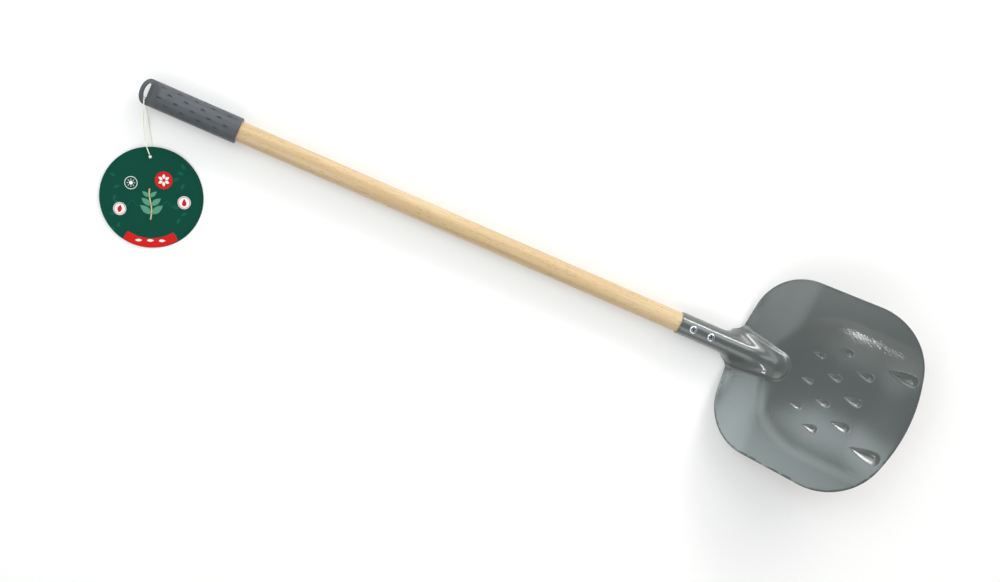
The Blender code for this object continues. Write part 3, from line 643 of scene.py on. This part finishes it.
def build_handle(material):
    start = GRIP_RIM_X - HANDLE_IN_GRIP
    end = HANDLE_IN_SOCKET
    profile = [(start + run, radius) for run, radius in HANDLE_END]
    profile += [(x, HANDLE_RADIUS) for x in np.linspace(start + 0.03, end - 0.03, 24)]
    profile += [(end - run, radius) for run, radius in reversed(HANDLE_END)]
    handle = mesh_object("wooden_handle", *turned(profile, 96), "shovel", "beech", material)
    seat = TUBE_OUTSIDE + CLEARANCE
    pilot = SHANK_RADIUS + CLEARANCE
    for x in SCREW_PLACES.values():
        points, faces = turned(((seat - SCREW_LENGTH - CLEARANCE, pilot), (seat, pilot)), 24, "Z")
        cut(handle, [tuple(np.add(p, (x, 0, 0))) for p in points], faces)
    handle.data.transform(SHOVEL)
    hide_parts("handle")


def build_screw(name, x, material, recess):
    """Pan-head screw with a cross recess, its flanks and corners rounded."""
    seat = TUBE_OUTSIDE + CLEARANCE
    head = (
        (0.0, 0.92), (0.05, 0.97), (0.13, 1.0), (0.40, 1.0), (0.56, 0.975), (0.70, 0.91),
        (0.81, 0.81), (0.90, 0.66), (0.96, 0.47), (0.99, 0.25), (1.0, 0.06),
    )
    profile = [(seat - SCREW_LENGTH, SHANK_POINT), (seat - SCREW_LENGTH + SHANK_TAPER, SHANK_RADIUS)]
    profile += [(seat, SHANK_RADIUS)]
    profile += [(seat + HEAD_HEIGHT * up, HEAD_RADIUS * out) for up, out in head]
    screw = mesh_object(f"{name}_zinc", *turned(profile, 48, "Z"), "shovel", "zinc", material)
    top = seat + HEAD_HEIGHT
    for i in range(2):
        turn = RECESS_TURN + i * pi / 2
        points = []
        for reach, half, z in ((RECESS_REACH, 0.00062, top + 0.001), (0.0013, 0.00034, top - 0.0019)):
            for a, b in ((-reach, -half), (reach, -half), (reach, half), (-reach, half)):
                aside, up = a * cos(turn) - b * sin(turn), a * sin(turn) + b * cos(turn)
                points.append((aside, up, z - RECESS_STEP * i))
        cut(screw, points, [(0, 1, 2, 3), (4, 5, 6, 7), *between(0, 4, 4)])
    # The recess walls take the dark recess material: painted shade in the cross recess, with a
    # blue-grey oxide tint
    screw.data.materials.append(recess)
    for face in screw.data.polygons:
        middle = face.center
        if seat < middle.z < top - 0.0001 and middle.xy.length < RECESS_REACH:
            face.material_index = len(screw.data.materials) - 1
    screw.data.transform(SHOVEL @ Matrix.Translation((x, 0.0, 0.0)))
    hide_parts(name)


def grip_section(x):
    """Half width, half height and squareness of the grip's section at x."""
    flat = smooth((DOME_X + EYE_SCOOP - x) / EYE_SCOOP)
    height = GRIP_RADIUS + (EYE_THICKNESS / 2 - GRIP_RADIUS) * flat
    return GRIP_RADIUS, height, 2.0 + 1.2 * flat


def grip_point(m, turn, dimple):
    """Point of the grip's skin at a distance m along it from the rim, turned from the front."""
    barrel = GRIP_RIM_X - DOME_X
    if m < 0.0:
        x = GRIP_RIM_X
        width = height = GRIP_RADIUS - GRIP_RIM_ROUND + m
        square = 2.0
    elif m <= barrel:
        x = GRIP_RIM_X - m
        width, height, square = grip_section(x)
        if m < GRIP_RIM_ROUND:
            inward = GRIP_RIM_ROUND - sqrt(GRIP_RIM_ROUND**2 - (GRIP_RIM_ROUND - m) ** 2)
            width, height = width - inward, height - inward
    else:
        round_off = min((m - barrel) / GRIP_DOME, 1.0) * pi / 2
        x = DOME_X - GRIP_DOME * sin(round_off)
        width, height, square = grip_section(DOME_X)
        width *= cos(round_off)
        height *= sqrt(max(1.0 - sin(round_off) ** 5, 0.0))
    width, height = width - dimple, height - dimple
    across, up = sin(turn), cos(turn)
    y = width * (1 if across > 0 else -1) * abs(across) ** (2 / square)
    z = height * (1 if up > 0 else -1) * abs(up) ** (2 / square)
    return x, y, z


def dimple_places():
    """Tail of each dimple on the unrolled grip: distance from the rim and arc from the front."""
    spread = 2 * pi * GRIP_RADIUS / DIMPLE_ROWS
    for row in range(-DIMPLE_ROWS // 2, DIMPLE_ROWS // 2):
        odd = row % 2
        for i in range(5 - odd):
            yield DIMPLE_FIRST + (i + odd / 2) * DIMPLE_PITCH - DIMPLE_LENGTH / 2, row * spread


def slot_outline():
    corner = 0.0008
    points = [(SLOT_FLAT_X, SLOT_HALF_LENGTH - corner), (SLOT_FLAT_X, -SLOT_HALF_LENGTH + corner)]
    for i in range(32):
        turn = -pi / 2 + pi * i / 31
        x = SLOT_FLAT_X - corner - (SLOT_WIDTH - corner) * cos(turn)
        points.append((x, SLOT_HALF_LENGTH * sin(turn)))
    return points


def build_grip(material):
    around = 2 * pi * GRIP_RADIUS
    seam = -around / 2 - around / DIMPLE_ROWS / 2
    barrel = GRIP_RIM_X - DOME_X
    first = -GRIP_RIM_ROUND + 0.0002
    last = barrel + GRIP_DOME * 0.99
    stations = [first, 0.0, 0.0001, 0.0003, 0.0006, GRIP_RIM_ROUND]
    stations += list(np.linspace(GRIP_RIM_ROUND, barrel - EYE_SCOOP, 60)[1:])
    stations += list(np.linspace(barrel - EYE_SCOOP, barrel, 16)[1:])
    stations += [barrel + GRIP_DOME * sin(pi / 2 * share / 16) for share in range(1, 15)]
    stations.append(last)
    columns = seam + around * np.arange(65) / 64
    outline = [(m, columns[0]) for m in stations]
    outline += [(last, s) for s in columns[1:-1]]
    outline += [(m, columns[-1]) for m in stations[::-1]]
    outline += [(first, s) for s in columns[1:-1][::-1]]
    places = list(dimple_places())
    rings = [drop_ring(m, s, DIMPLE_LENGTH, DIMPLE_RADIUS, 7, 8) for m, s in places]
    inner = []
    for m, s in places:
        sides = s - DIMPLE_RADIUS, s + DIMPLE_RADIUS
        inner.append(lattice(m, m + DIMPLE_LENGTH, *sides, DIMPLE_SPACING))
    grid = np.array([(m, s) for m in stations[1:-1] for s in columns[1:-1]])
    lattices = ((np.vstack(inner), DIMPLE_SPACING), (grid, GRIP_SPACING))
    points, faces = triangulate(np.array(outline), [], rings, lattices)
    deep = np.zeros(len(points))
    for m, s in places:
        wedge = drop_depth(points[:, 0] - m, points[:, 1] - s, DIMPLE_LENGTH, DIMPLE_RADIUS, 1.0)
        deep += DIMPLE_DEPTH * (1.0 - (1.0 - wedge) ** 2)
    skin = [grip_point(m, s / GRIP_RADIUS, d) for (m, s), d in zip(points, deep)]
    solid = [tuple(f) for f in faces]
    for station in (first, last):
        ring = np.where(np.abs(points[:, 0] - station) < 1e-7)[0]
        ring = ring[np.argsort(points[ring, 1])]
        middle = np.mean([skin[i] for i in ring[:-1]], axis=0)
        skin.append((middle[0] - (0.0002 if station == last else 0.0), middle[1], middle[2]))
        solid += [(a, b, len(skin) - 1) for a, b in zip(ring, ring[1:])]
    grip = mesh_object("rubber_grip", skin, solid, "shovel", "rubber", material)
    start = GRIP_RIM_X - HANDLE_IN_GRIP - CLEARANCE
    bore = (start, BORE_RADIUS), (GRIP_RIM_X + 0.005, BORE_RADIUS)
    cut(grip, *turned(bore, 96), turn=BORE_TURN)
    cut(grip, *prism(slot_outline(), -GRIP_RADIUS * 2, GRIP_RADIUS * 2))
    grip.data.transform(SHOVEL)
    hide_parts("grip")


# The tag and its string: the string's points are its reach from the eye's wall, its place aside
# and its height over the floor, in tenths of a millimetre

STRING_ROUTE = (
    (521, 0, 7), (480, -12, 6), (435, -18, 6), (370, -14, 6), (290, -6, 8), (210, -1, 16),
    (140, 2, 32), (75, 3, 55), (20, 2, 77), (-20, 0, 83), (-43, 0, 102), (-52, 0, 131),
    (-43, 0, 160), (-18, 0, 180), (16, 3, 184), (70, 13, 164), (135, 27, 128), (200, 37, 93),
    (270, 42, 66), (340, 41, 50), (400, 34, 44), (455, 22, 43), (510, 5, 43),
)
SWING = Matrix.Translation((EYE_BAR.x, EYE_BAR.y, 0.0)) @ Matrix.Rotation(TAG_DIRECTION, 4, "Z")


def build_string(material):
    places = np.array(STRING_ROUTE) * (1, -1, 1) / 10000
    route = [SWING @ Vector(place) for place in places]
    dense = []
    padded = [route[0] * 2 - route[1], *route, route[-1] * 2 - route[-2]]
    for a, b, c, d in zip(padded, padded[1:], padded[2:], padded[3:]):
        for i in range(16):
            t = i / 16
            bend = (2 * a - 5 * b + 4 * c - d) * t**2 + (3 * b - a - 3 * c + d) * t**3
            dense.append(0.5 * (2 * b + (c - a) * t + bend))
    dense.append(route[-1])
    lengths = np.cumsum([0.0] + [(b - a).length for a, b in zip(dense, dense[1:])])
    count = round(lengths[-1] / STRING_STEP)
    curve = bpy.data.curves.new("elastic_string", "CURVE")
    curve.dimensions = "3D"
    curve.bevel_depth = STRING_DIAMETER / 2
    curve.bevel_resolution = 3
    curve.use_fill_caps = True
    spline = curve.splines.new("POLY")
    spline.points.add(count)
    for i in range(count + 1):
        at = lengths[-1] * i / count
        place = [float(np.interp(at, lengths, [p[k] for p in dense])) for k in range(3)]
        spline.points[i].co = (*place, 1.0)
    string = new_object("elastic_string", curve)
    curve.materials.append(material)
    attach(string, "tag")
    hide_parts("tag_string")
    return string, route[0], float(lengths[-1])


def build_knot(material):
    """The string's knot: a tight trefoil of it on the front leaf, on a short stem in the holes."""
    radius = STRING_DIAMETER / 2
    top = TAG_OVER_STRING + 2 * TAG_SHEET + 2 * CLEARANCE
    scale = (KNOT_WIDTH / 2 - radius) / 3
    count = 60
    path = []
    for i in range(count):
        t = 2 * pi * i / count
        x = (sin(t) + 2 * sin(2 * t)) * scale
        y = (cos(t) - 2 * cos(2 * t)) * scale
        path.append(Vector((x, y, top + radius + KNOT_LIFT - KNOT_WAVE * sin(3 * t))))
    points = []
    faces = []
    sides = 10
    for i, place in enumerate(path):
        along = (path[(i + 1) % count] - path[i - 1]).normalized()
        across = along.cross(Vector((0, 0, 1))).normalized()
        up = across.cross(along)
        for k in range(sides):
            a = 2 * pi * k / sides
            points.append(place + (across * cos(a) + up * sin(a)) * radius)
        faces += between(i * sides, (i + 1) % count * sides, sides)
    stem, stem_faces = turned(((CLEARANCE, radius), (top + KNOT_STEM, radius)), sides, "Z")
    first = len(points)
    points += stem
    faces += [tuple(first + i for i in f) for f in stem_faces]
    place = SWING @ Vector((TAG_REACH, 0.0, 0.0))
    points = [Vector(p) + place for p in points]
    knot = mesh_object("elastic_knot", points, faces, "tag", "elastic", material)
    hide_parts("string_knot")
    return knot


def leaf_matrix(lift, turn):
    reach = TAG_RADIUS - TAG_HOLE_INSET
    tilt = atan(TAG_OVER_STRING / (reach + TAG_RADIUS))
    lean = Matrix.Rotation(tilt, 4, "Y") @ Matrix.Rotation(turn, 4, "Z")
    return SWING @ Matrix.Translation((TAG_REACH, 0.0, lift)) @ lean


def build_leaf(name, node, body, lift, turn, layers, ground, edge):
    """A round card leaf. layers holds the printed (loop, material) shapes, the lowest first."""
    reach = TAG_RADIUS - TAG_HOLE_INSET
    rim = circle(reach, 0.0, TAG_RADIUS, 160)
    hole = circle(0.0, 0.0, TAG_HOLE_RADIUS, 32)
    loops = [loop for loop, _ in layers]
    points, faces = triangulate(rim, [hole], loops, ())
    count = len(points)
    inks = [ground, edge]
    for _, ink in layers:
        if ink not in inks:
            inks.append(ink)
    middles = points[faces].mean(axis=1)
    index = np.zeros(len(faces), int)
    for loop, ink in layers:
        index[inside(middles, loop)] = inks.index(ink)
    mesh = bpy.data.meshes.new(name)
    skin = [(x, y, TAG_SHEET) for x, y in points] + [(x, y, 0.0) for x, y in points]
    solid = both_sides(faces, count)
    kinds = [*index, *([0] * len(faces))]
    for a, b in rim_edges(faces):
        solid.append((b, a, count + a, count + b))
        kinds.append(1)
    mesh.from_pydata(skin, [], solid)
    for ink in inks:
        mesh.materials.append(ink)
    mesh.polygons.foreach_set("material_index", kinds)
    mesh.update()
    leaf = new_object(name, mesh)
    mesh.transform(leaf_matrix(lift, turn))
    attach(leaf, body)
    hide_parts(node)


# Printed motifs, on the tag's own plane: x from the hole to the far edge, y to the left


def polyline(points, width):
    """Outline of a stroke of even width along the points."""
    p = np.array(points, float)
    ahead = np.roll(p, -1, axis=0) - p
    behind = p - np.roll(p, 1, axis=0)
    ahead[-1] = behind[-1]
    behind[0] = ahead[0]
    side = unit(ahead) + unit(behind)
    side = unit(np.stack((-side[:, 1], side[:, 0]), axis=1)) * width / 2
    return np.vstack((p + side, (p - side)[::-1]))


def leaf_shape(x, y, length, width, turn):
    """A pointed leaf that starts at x, y and points along turn."""
    t = np.arange(11) / 10
    half = width / 2 * np.sin(pi * t) ** 0.9 * (1.15 - 0.3 * t)
    upper = np.stack((t * length, half), axis=1)
    loop = np.vstack((upper, upper[-2:0:-1] * (1, -1)))
    return loop @ np.array(((cos(turn), sin(turn)), (-sin(turn), cos(turn)))) + (x, y)


def band(x, y, inner, outer, start, end):
    """A bent band between two radii, from one angle to another."""
    turns = np.linspace(start, end, 48)
    spokes = np.stack((np.cos(turns), np.sin(turns)), axis=1)
    return np.vstack((spokes * outer, spokes[::-1] * inner)) + (x, y)


def tag_print(inks):
    """The cover's printed shapes with their inks, the lowest first."""
    centre = TAG_RADIUS - TAG_HOLE_INSET
    red, white, pale, faint, straw = (inks[k] for k in ("red", "white", "pale", "faint", "straw"))
    layers = []

    def put(loop, ink):
        layers.append((loop, ink))

    for i in range(9):
        x = centre - 0.034 + 0.0085 * i
        put(leaf_shape(x, 0.030 - 0.004 * (i % 3), 0.007, 0.0032, radians(35 + 40 * (i % 4))), faint)
    for i in range(7):
        x = centre - 0.02 + 0.009 * i
        put(leaf_shape(x, -0.034 + 0.004 * (i % 2), 0.0065, 0.003, radians(-120 + 50 * (i % 3))), faint)
    wave = [(centre + 0.006 + 0.003 * sin(k * 0.9), -0.026 + 0.0016 * k) for k in range(33)]
    put(polyline(wave, 0.0007), faint)
    # Seedling in the middle
    stem = [(centre + 0.022 - 0.0028 * k, 0.0012 * sin(k * 0.5)) for k in range(12)]
    put(polyline(stem, 0.0013), straw)
    for side in (1, -1):
        for k, length in ((2, 0.014), (5, 0.012), (8, 0.009)):
            x, y = stem[k]
            put(leaf_shape(x, y, length, length * 0.45, pi - side * radians(52)), pale)
    # Red badge with a plain flower
    badge_x, badge_y = centre - 0.0175, 0.013
    put(circle(badge_x, badge_y, 0.0086, 64), red)
    for k in range(6):
        turn = 2 * pi * k / 6
        x, y = badge_x + 0.0014 * cos(turn), badge_y + 0.0014 * sin(turn)
        put(leaf_shape(x, y, 0.0047, 0.0029, turn), white)
    put(circle(badge_x, badge_y, 0.0013, 20), red)
    # Ringed sun, drop and leaf
    for k, (ahead, y) in enumerate(((-0.014, -0.019), (0.004, 0.033), (0.012, -0.030))):
        x = centre + ahead
        put(circle(x, y, 0.0064, 48), white)
        put(circle(x, y, 0.0058, 48), red if k else inks["ground"])
        put(circle(x, y, 0.0052, 48), white if k else inks["ground"])
        if k == 0:
            put(circle(x, y, 0.0019, 24), white)
            for j in range(8):
                turn = 2 * pi * j / 8
                ray = [(x + r * cos(turn), y + r * sin(turn)) for r in (0.0027, 0.0041)]
                put(polyline(ray, 0.0006), white)
        elif k == 1:
            drop = drop_ring(0.0, 0.0, 0.0078, 0.0022, 10, 12) - (0.0042, 0.0)
            put(drop + (x, y), red)
        else:
            put(leaf_shape(x + 0.0038, y - 0.001, 0.0078, 0.0044, radians(165)), red)
    # Red hem along the lower edge
    put(band(centre, 0.0, 0.0405, 0.0499, radians(-33), radians(33)), red)
    for side in (-1, 0, 1):
        put(leaf_shape(centre + 0.0428, 0.0115 * side - 0.0035, 0.007, 0.0026, radians(90)), white)
    return layers


# Node trees


def adjust(node, **values):
    """Sets a node's inputs and settings by name, with _ for a space in an input's name."""
    for key, value in values.items():
        socket = key.replace("_", " ")
        if socket in node.inputs:
            node.inputs[socket].default_value = value
        else:
            setattr(node, key, value)
    return node


def add(tree, kind, **values):
    return adjust(tree.nodes.new(f"ShaderNode{kind}"), **values)


def coordinates(tree, scale):
    place = add(tree, "TexCoord")
    mapping = add(tree, "Mapping", Scale=scale)
    tree.links.new(place.outputs["Object"], mapping.inputs["Vector"])
    return mapping.outputs["Vector"]


def noise(tree, vector, scale, detail, roughness=0.5):
    made = add(tree, "TexNoise", Scale=scale, Detail=detail, Roughness=roughness)
    tree.links.new(vector, made.inputs["Vector"])
    return made.outputs["Fac"]


def ramp(tree, source, stops):
    made = add(tree, "ValToRGB")
    elements = made.color_ramp.elements
    while len(elements) < len(stops):
        elements.new(0.5)
    for element, (at, color) in zip(elements, stops):
        element.position = at
        element.color = (*color, 1.0)
    tree.links.new(source, made.inputs["Fac"])
    return made.outputs["Color"]


def bump(tree, shader, height, distance, strength):
    made = add(tree, "Bump", Distance=distance, Strength=strength)
    tree.links.new(height, made.inputs["Height"])
    tree.links.new(made.outputs["Normal"], shader.inputs["Normal"])
    return made


def soft_step(tree, source, ends, values):
    """Runs from one value to the other while the source runs between its ends."""
    made = add(tree, "MapRange", interpolation_type="SMOOTHSTEP")
    adjust(made, From_Min=ends[0], From_Max=ends[1], To_Min=values[0], To_Max=values[1])
    tree.links.new(source, made.inputs["Value"])
    return made.outputs["Result"]


# Materials


def new_material(name):
    made = bpy.data.materials.new(name)
    made.use_nodes = True
    return made, made.node_tree, made.node_tree.nodes["Principled BSDF"]


def mottled(name, tones, cloud, relief, skin=None, **values):
    """A material whose colour drifts between two tones, and its bump node.

    cloud holds the scale and detail of the noise in the drift, and relief the depth and strength
    of the bumps. These follow the same noise, or one of their own with skin's scale and detail.
    """
    made, tree, shader = new_material(name)
    adjust(shader, **values)
    place = coordinates(tree, (1, 1, 1))
    drift = noise(tree, place, *cloud)
    color = ramp(tree, drift, ((0.3, tones[0]), (0.7, tones[1])))
    tree.links.new(color, shader.inputs["Base Color"])
    height = noise(tree, place, *skin) if skin else drift
    return made, bump(tree, shader, height, *relief)


def paint_material():
    """Glossy powder coat: a slight drift of colour, and fine orange peel, in its clear skin too."""
    tones = (0.075, 0.086, 0.084), (0.083, 0.095, 0.093)
    gloss = {"Roughness": 0.38, "Coat_Weight": 1.0, "Coat_Roughness": 0.06, "Coat_IOR": 1.6}
    relief = (0.00009, 0.8)
    made, peel = mottled("grey_paint", tones, (9.0, 3.0), relief, skin=(480.0, 2.0), **gloss)
    shader = made.node_tree.nodes["Principled BSDF"]
    made.node_tree.links.new(peel.outputs["Normal"], shader.inputs["Coat Normal"])
    return made


def wood_material():
    """Beech along X: long soft grain, with the short dark flecks that mark it."""
    made, tree, shader = new_material("beech_wood")
    grain = noise(tree, coordinates(tree, (4, 120, 120)), 1.0, 4.0, 0.6)
    flecks = noise(tree, coordinates(tree, (160, 1100, 1100)), 1.0, 1.0)
    tones = ((0.26, (0.52, 0.34, 0.17)), (0.5, (0.64, 0.455, 0.255)), (0.74, (0.75, 0.575, 0.36)))
    color = ramp(tree, grain, tones)
    dark = ramp(tree, flecks, ((0.30, (0.72, 0.62, 0.5)), (0.40, (1, 1, 1))))
    mix = add(tree, "Mix", data_type="RGBA", blend_type="MULTIPLY", Factor=0.7)
    tree.links.new(color, mix.inputs["A"])
    tree.links.new(dark, mix.inputs["B"])
    tree.links.new(mix.outputs["Result"], shader.inputs["Base Color"])
    adjust(shader, Roughness=0.48)
    bump(tree, shader, flecks, 0.00004, 0.5)
    return made


def rubber_material():
    tones = (0.070, 0.076, 0.088), (0.084, 0.091, 0.104)
    relief = (0.00003, 0.5)
    return mottled("grip_rubber", tones, (40.0, 3.0), relief, skin=(1800.0, 2.0), Roughness=0.42)[0]


def zinc_material():
    tones = (0.62, 0.66, 0.72), (0.78, 0.80, 0.83)
    polish = {"Metallic": 1.0, "Roughness": 0.22}
    return mottled("zinc_plate", tones, (700.0, 3.0), (0.00002, 0.4), **polish)[0]


def recess_shade_material():
    """The walls of the screws' cross recesses, coloured dark: painted shade in the recesses, with a
    blue-grey oxide tint.
    """
    tones = (0.05, 0.075, 0.10), (0.09, 0.125, 0.16)
    polish = {"Metallic": 0.6, "Roughness": 0.6}
    return mottled("zinc_recess_painted_shade", tones, (1500.0, 2.0), (0.00002, 0.4), **polish)[0]


def elastic_material():
    """Braided elastic: small pale stitches all over the string."""
    tones = (0.86, 0.90, 0.72), (0.96, 0.98, 0.86)
    return mottled("elastic_braid", tones, (2200.0, 1.0), (0.00008, 0.7), Roughness=0.65)[0]


def ink_material(name, color, spread=0.06):
    """Coated card in one ink, with the faint mottle of print."""
    low = tuple(c * (1 - spread) for c in color)
    high = tuple(min(c * (1 + spread), 1.0) for c in color)
    matt = {"Roughness": 0.5, "Specular_IOR_Level": 0.12}
    return mottled(name, (low, high), (900.0, 3.0), (0.00001, 0.3), **matt)[0]


def floor_material():
    """Pale floor that keeps the shadow, lifted to white for the camera and mirrors, wholly far off."""
    made, tree, shader = new_material("pale_floor")
    link = tree.links.new
    adjust(shader, Roughness=1.0, Specular_IOR_Level=0.0)
    path = add(tree, "LightPath")
    seen = add(tree, "Math", operation="MAXIMUM")
    link(path.outputs["Is Camera Ray"], seen.inputs[0])
    link(path.outputs["Is Glossy Ray"], seen.inputs[1])
    mix = add(tree, "Mix", data_type="RGBA", A=(0.72, 0.70, 0.69, 1.0), B=(1.0, 0.972, 0.965, 1.0))
    link(seen.outputs[0], mix.inputs["Factor"])
    link(mix.outputs["Result"], shader.inputs["Base Color"])
    place = add(tree, "NewGeometry")
    away = add(tree, "VectorMath", operation="LENGTH")
    link(place.outputs["Position"], away.inputs[0])
    ends = FLOOR_WHITE_FROM, FLOOR_WHITE_AT
    far = soft_step(tree, away.outputs["Value"], ends, (FLOOR_LIFT, 1.0))
    lifted = add(tree, "Math", operation="MULTIPLY")
    link(seen.outputs[0], lifted.inputs[0])
    link(far, lifted.inputs[1])
    white = add(tree, "Emission", Strength=1.0)
    blend = add(tree, "MixShader")
    link(lifted.outputs[0], blend.inputs["Fac"])
    link(shader.outputs["BSDF"], blend.inputs[1])
    link(white.outputs["Emission"], blend.inputs[2])
    link(blend.outputs["Shader"], tree.nodes["Material Output"].inputs["Surface"])
    return made


# Studio


def build_floor():
    corners = [(x * FLOOR_REACH, y * FLOOR_REACH, 0) for x, y in ((-1, -1), (1, -1), (1, 1), (-1, 1))]
    mesh = bpy.data.meshes.new("studio_floor")
    mesh.from_pydata(corners, [], [(0, 1, 2, 3)])
    mesh.materials.append(floor_material())
    new_object("studio_floor", mesh)


def camera_axes():
    right = CAMERA_RIGHT.normalized()
    ahead = CAMERA_AHEAD.normalized()
    up = right.cross(ahead).normalized()
    return ahead.cross(up).normalized(), up, ahead


def build_camera():
    right, up, ahead = camera_axes()
    data = bpy.data.cameras.new("photo_view")
    data.lens = CAMERA_LENS
    data.sensor_width = 36.0
    data.clip_start = 0.01
    camera = new_object("photo_view", data)
    turn = Matrix((right, up, -ahead)).transposed().to_4x4()
    camera.matrix_world = SHOVEL @ Matrix.Translation(CAMERA_AT) @ turn
    bpy.context.scene.camera = camera


def softbox(name, off_axis, turn, wide, high, radiance, color):
    """Panel that faces the shovel, brightest at its middle and fading to its edges.

    It stands off_axis from the camera's axis, turned round that axis from the picture's right.
    wide and high are its half width and half height as angles. All four are in degrees.
    """
    off_axis, turn, wide, high = map(radians, (off_axis, turn, wide, high))
    right, up, ahead = (SHOVEL.to_3x3() @ axis for axis in camera_axes())
    aside = right * cos(turn) + up * sin(turn)
    out = aside * sin(off_axis) - ahead * cos(off_axis)
    rise = aside * cos(off_axis) + ahead * sin(off_axis)
    data = bpy.data.lights.new(name, "AREA")
    data.shape = "RECTANGLE"
    data.size = 2 * LIGHT_DISTANCE * tan(wide)
    data.size_y = 2 * LIGHT_DISTANCE * tan(high)
    data.energy = radiance * pi * data.size * data.size_y
    data.color = color
    data.use_nodes = True
    tree = data.node_tree
    link = tree.links.new
    place = add(tree, "NewGeometry")
    split = add(tree, "SeparateXYZ")
    link(place.outputs["Parametric"], split.inputs[0])
    glow = add(tree, "Math", operation="MULTIPLY")
    # Along each side the glow is 4 t (1 - t), so it is whole at the middle
    for i, axis in enumerate("XY"):
        left = add(tree, "Math", operation="MULTIPLY_ADD")
        left.inputs[1].default_value = -4.0
        left.inputs[2].default_value = 4.0
        fade = add(tree, "Math", operation="MULTIPLY")
        link(split.outputs[axis], left.inputs[0])
        link(split.outputs[axis], fade.inputs[0])
        link(left.outputs[0], fade.inputs[1])
        link(fade.outputs[0], glow.inputs[i])
    link(glow.outputs[0], tree.nodes["Emission"].inputs["Strength"])
    light = new_object(name, data)
    turned_to = Matrix((rise.cross(out), rise, out)).transposed().to_4x4()
    light.matrix_world = Matrix.Translation(SHOVEL @ LIT_POINT + out * LIGHT_DISTANCE) @ turned_to


def build_light():
    for name, values in SOFTBOXES.items():
        softbox(name, *values)


def build_world():
    """Soft light from all round, weaker from behind the camera. The camera sees white."""
    world = bpy.data.worlds.new("studio")
    bpy.context.scene.world = world
    world.use_nodes = True
    tree = world.node_tree
    tree.nodes.clear()
    link = tree.links.new
    out = add(tree, "OutputWorld")
    lit = add(tree, "Background", Color=(1.0, 0.985, 0.965, 1.0))
    seen = add(tree, "Background", Color=(1.0, 1.0, 1.0, 1.0), Strength=1.0)
    mix = add(tree, "MixShader")
    path = add(tree, "LightPath")
    place = add(tree, "TexCoord")
    toward = add(tree, "VectorMath", operation="DOT_PRODUCT")
    toward.inputs[1].default_value = SHOVEL.to_3x3() @ -camera_axes()[2]
    link(place.outputs["Generated"], toward.inputs[0])
    ends = cos(WORLD_FADE_FROM), cos(WORLD_FADE_TO)
    level = soft_step(tree, toward.outputs["Value"], ends, (WORLD_LEVEL, WORLD_LEVEL_BEHIND_CAMERA))
    link(level, lit.inputs["Strength"])
    link(path.outputs["Is Camera Ray"], mix.inputs["Fac"])
    link(lit.outputs["Background"], mix.inputs[1])
    link(seen.outputs["Background"], mix.inputs[2])
    link(mix.outputs["Shader"], out.inputs["Surface"])
    bpy.context.scene.view_settings.view_transform = "Standard"


def build_object():
    build_blade(paint_material())
    build_handle(wood_material())
    build_grip(rubber_material())
    zinc = zinc_material()
    recess = recess_shade_material()
    for name, x in SCREW_PLACES.items():
        build_screw(name, x, zinc, recess)
    elastic = elastic_material()
    string, start, length = build_string(elastic)
    knot = build_knot(elastic)
    inks = {
        "ground": ink_material("green_ink", (0.0, 0.060, 0.038)),
        "red": ink_material("red_ink", (0.62, 0.012, 0.010)),
        "white": ink_material("white_ink", (0.86, 0.86, 0.84), 0.02),
        "pale": ink_material("pale_green_ink", (0.10, 0.30, 0.20)),
        "faint": ink_material("faint_green_ink", (0.004, 0.095, 0.070)),
        "straw": ink_material("straw_ink", (0.62, 0.50, 0.26)),
    }
    edge = ink_material("card_edge", (0.10, 0.16, 0.13))
    under = TAG_OVER_STRING
    over = TAG_OVER_STRING + TAG_SHEET + CLEARANCE
    back = LEAF_TURN + BACK_LEAF_TURN
    front = tag_print(inks)
    ground = inks["ground"]
    build_leaf("card_back_leaf", "tag_back_leaf", "tag", under, back, (), ground, edge)
    build_leaf("card_front_leaf", "tag_front_leaf", "front_leaf", over, LEAF_TURN, front, ground, edge)


build_camera()
build_floor()
build_light()
build_world()
build_object()
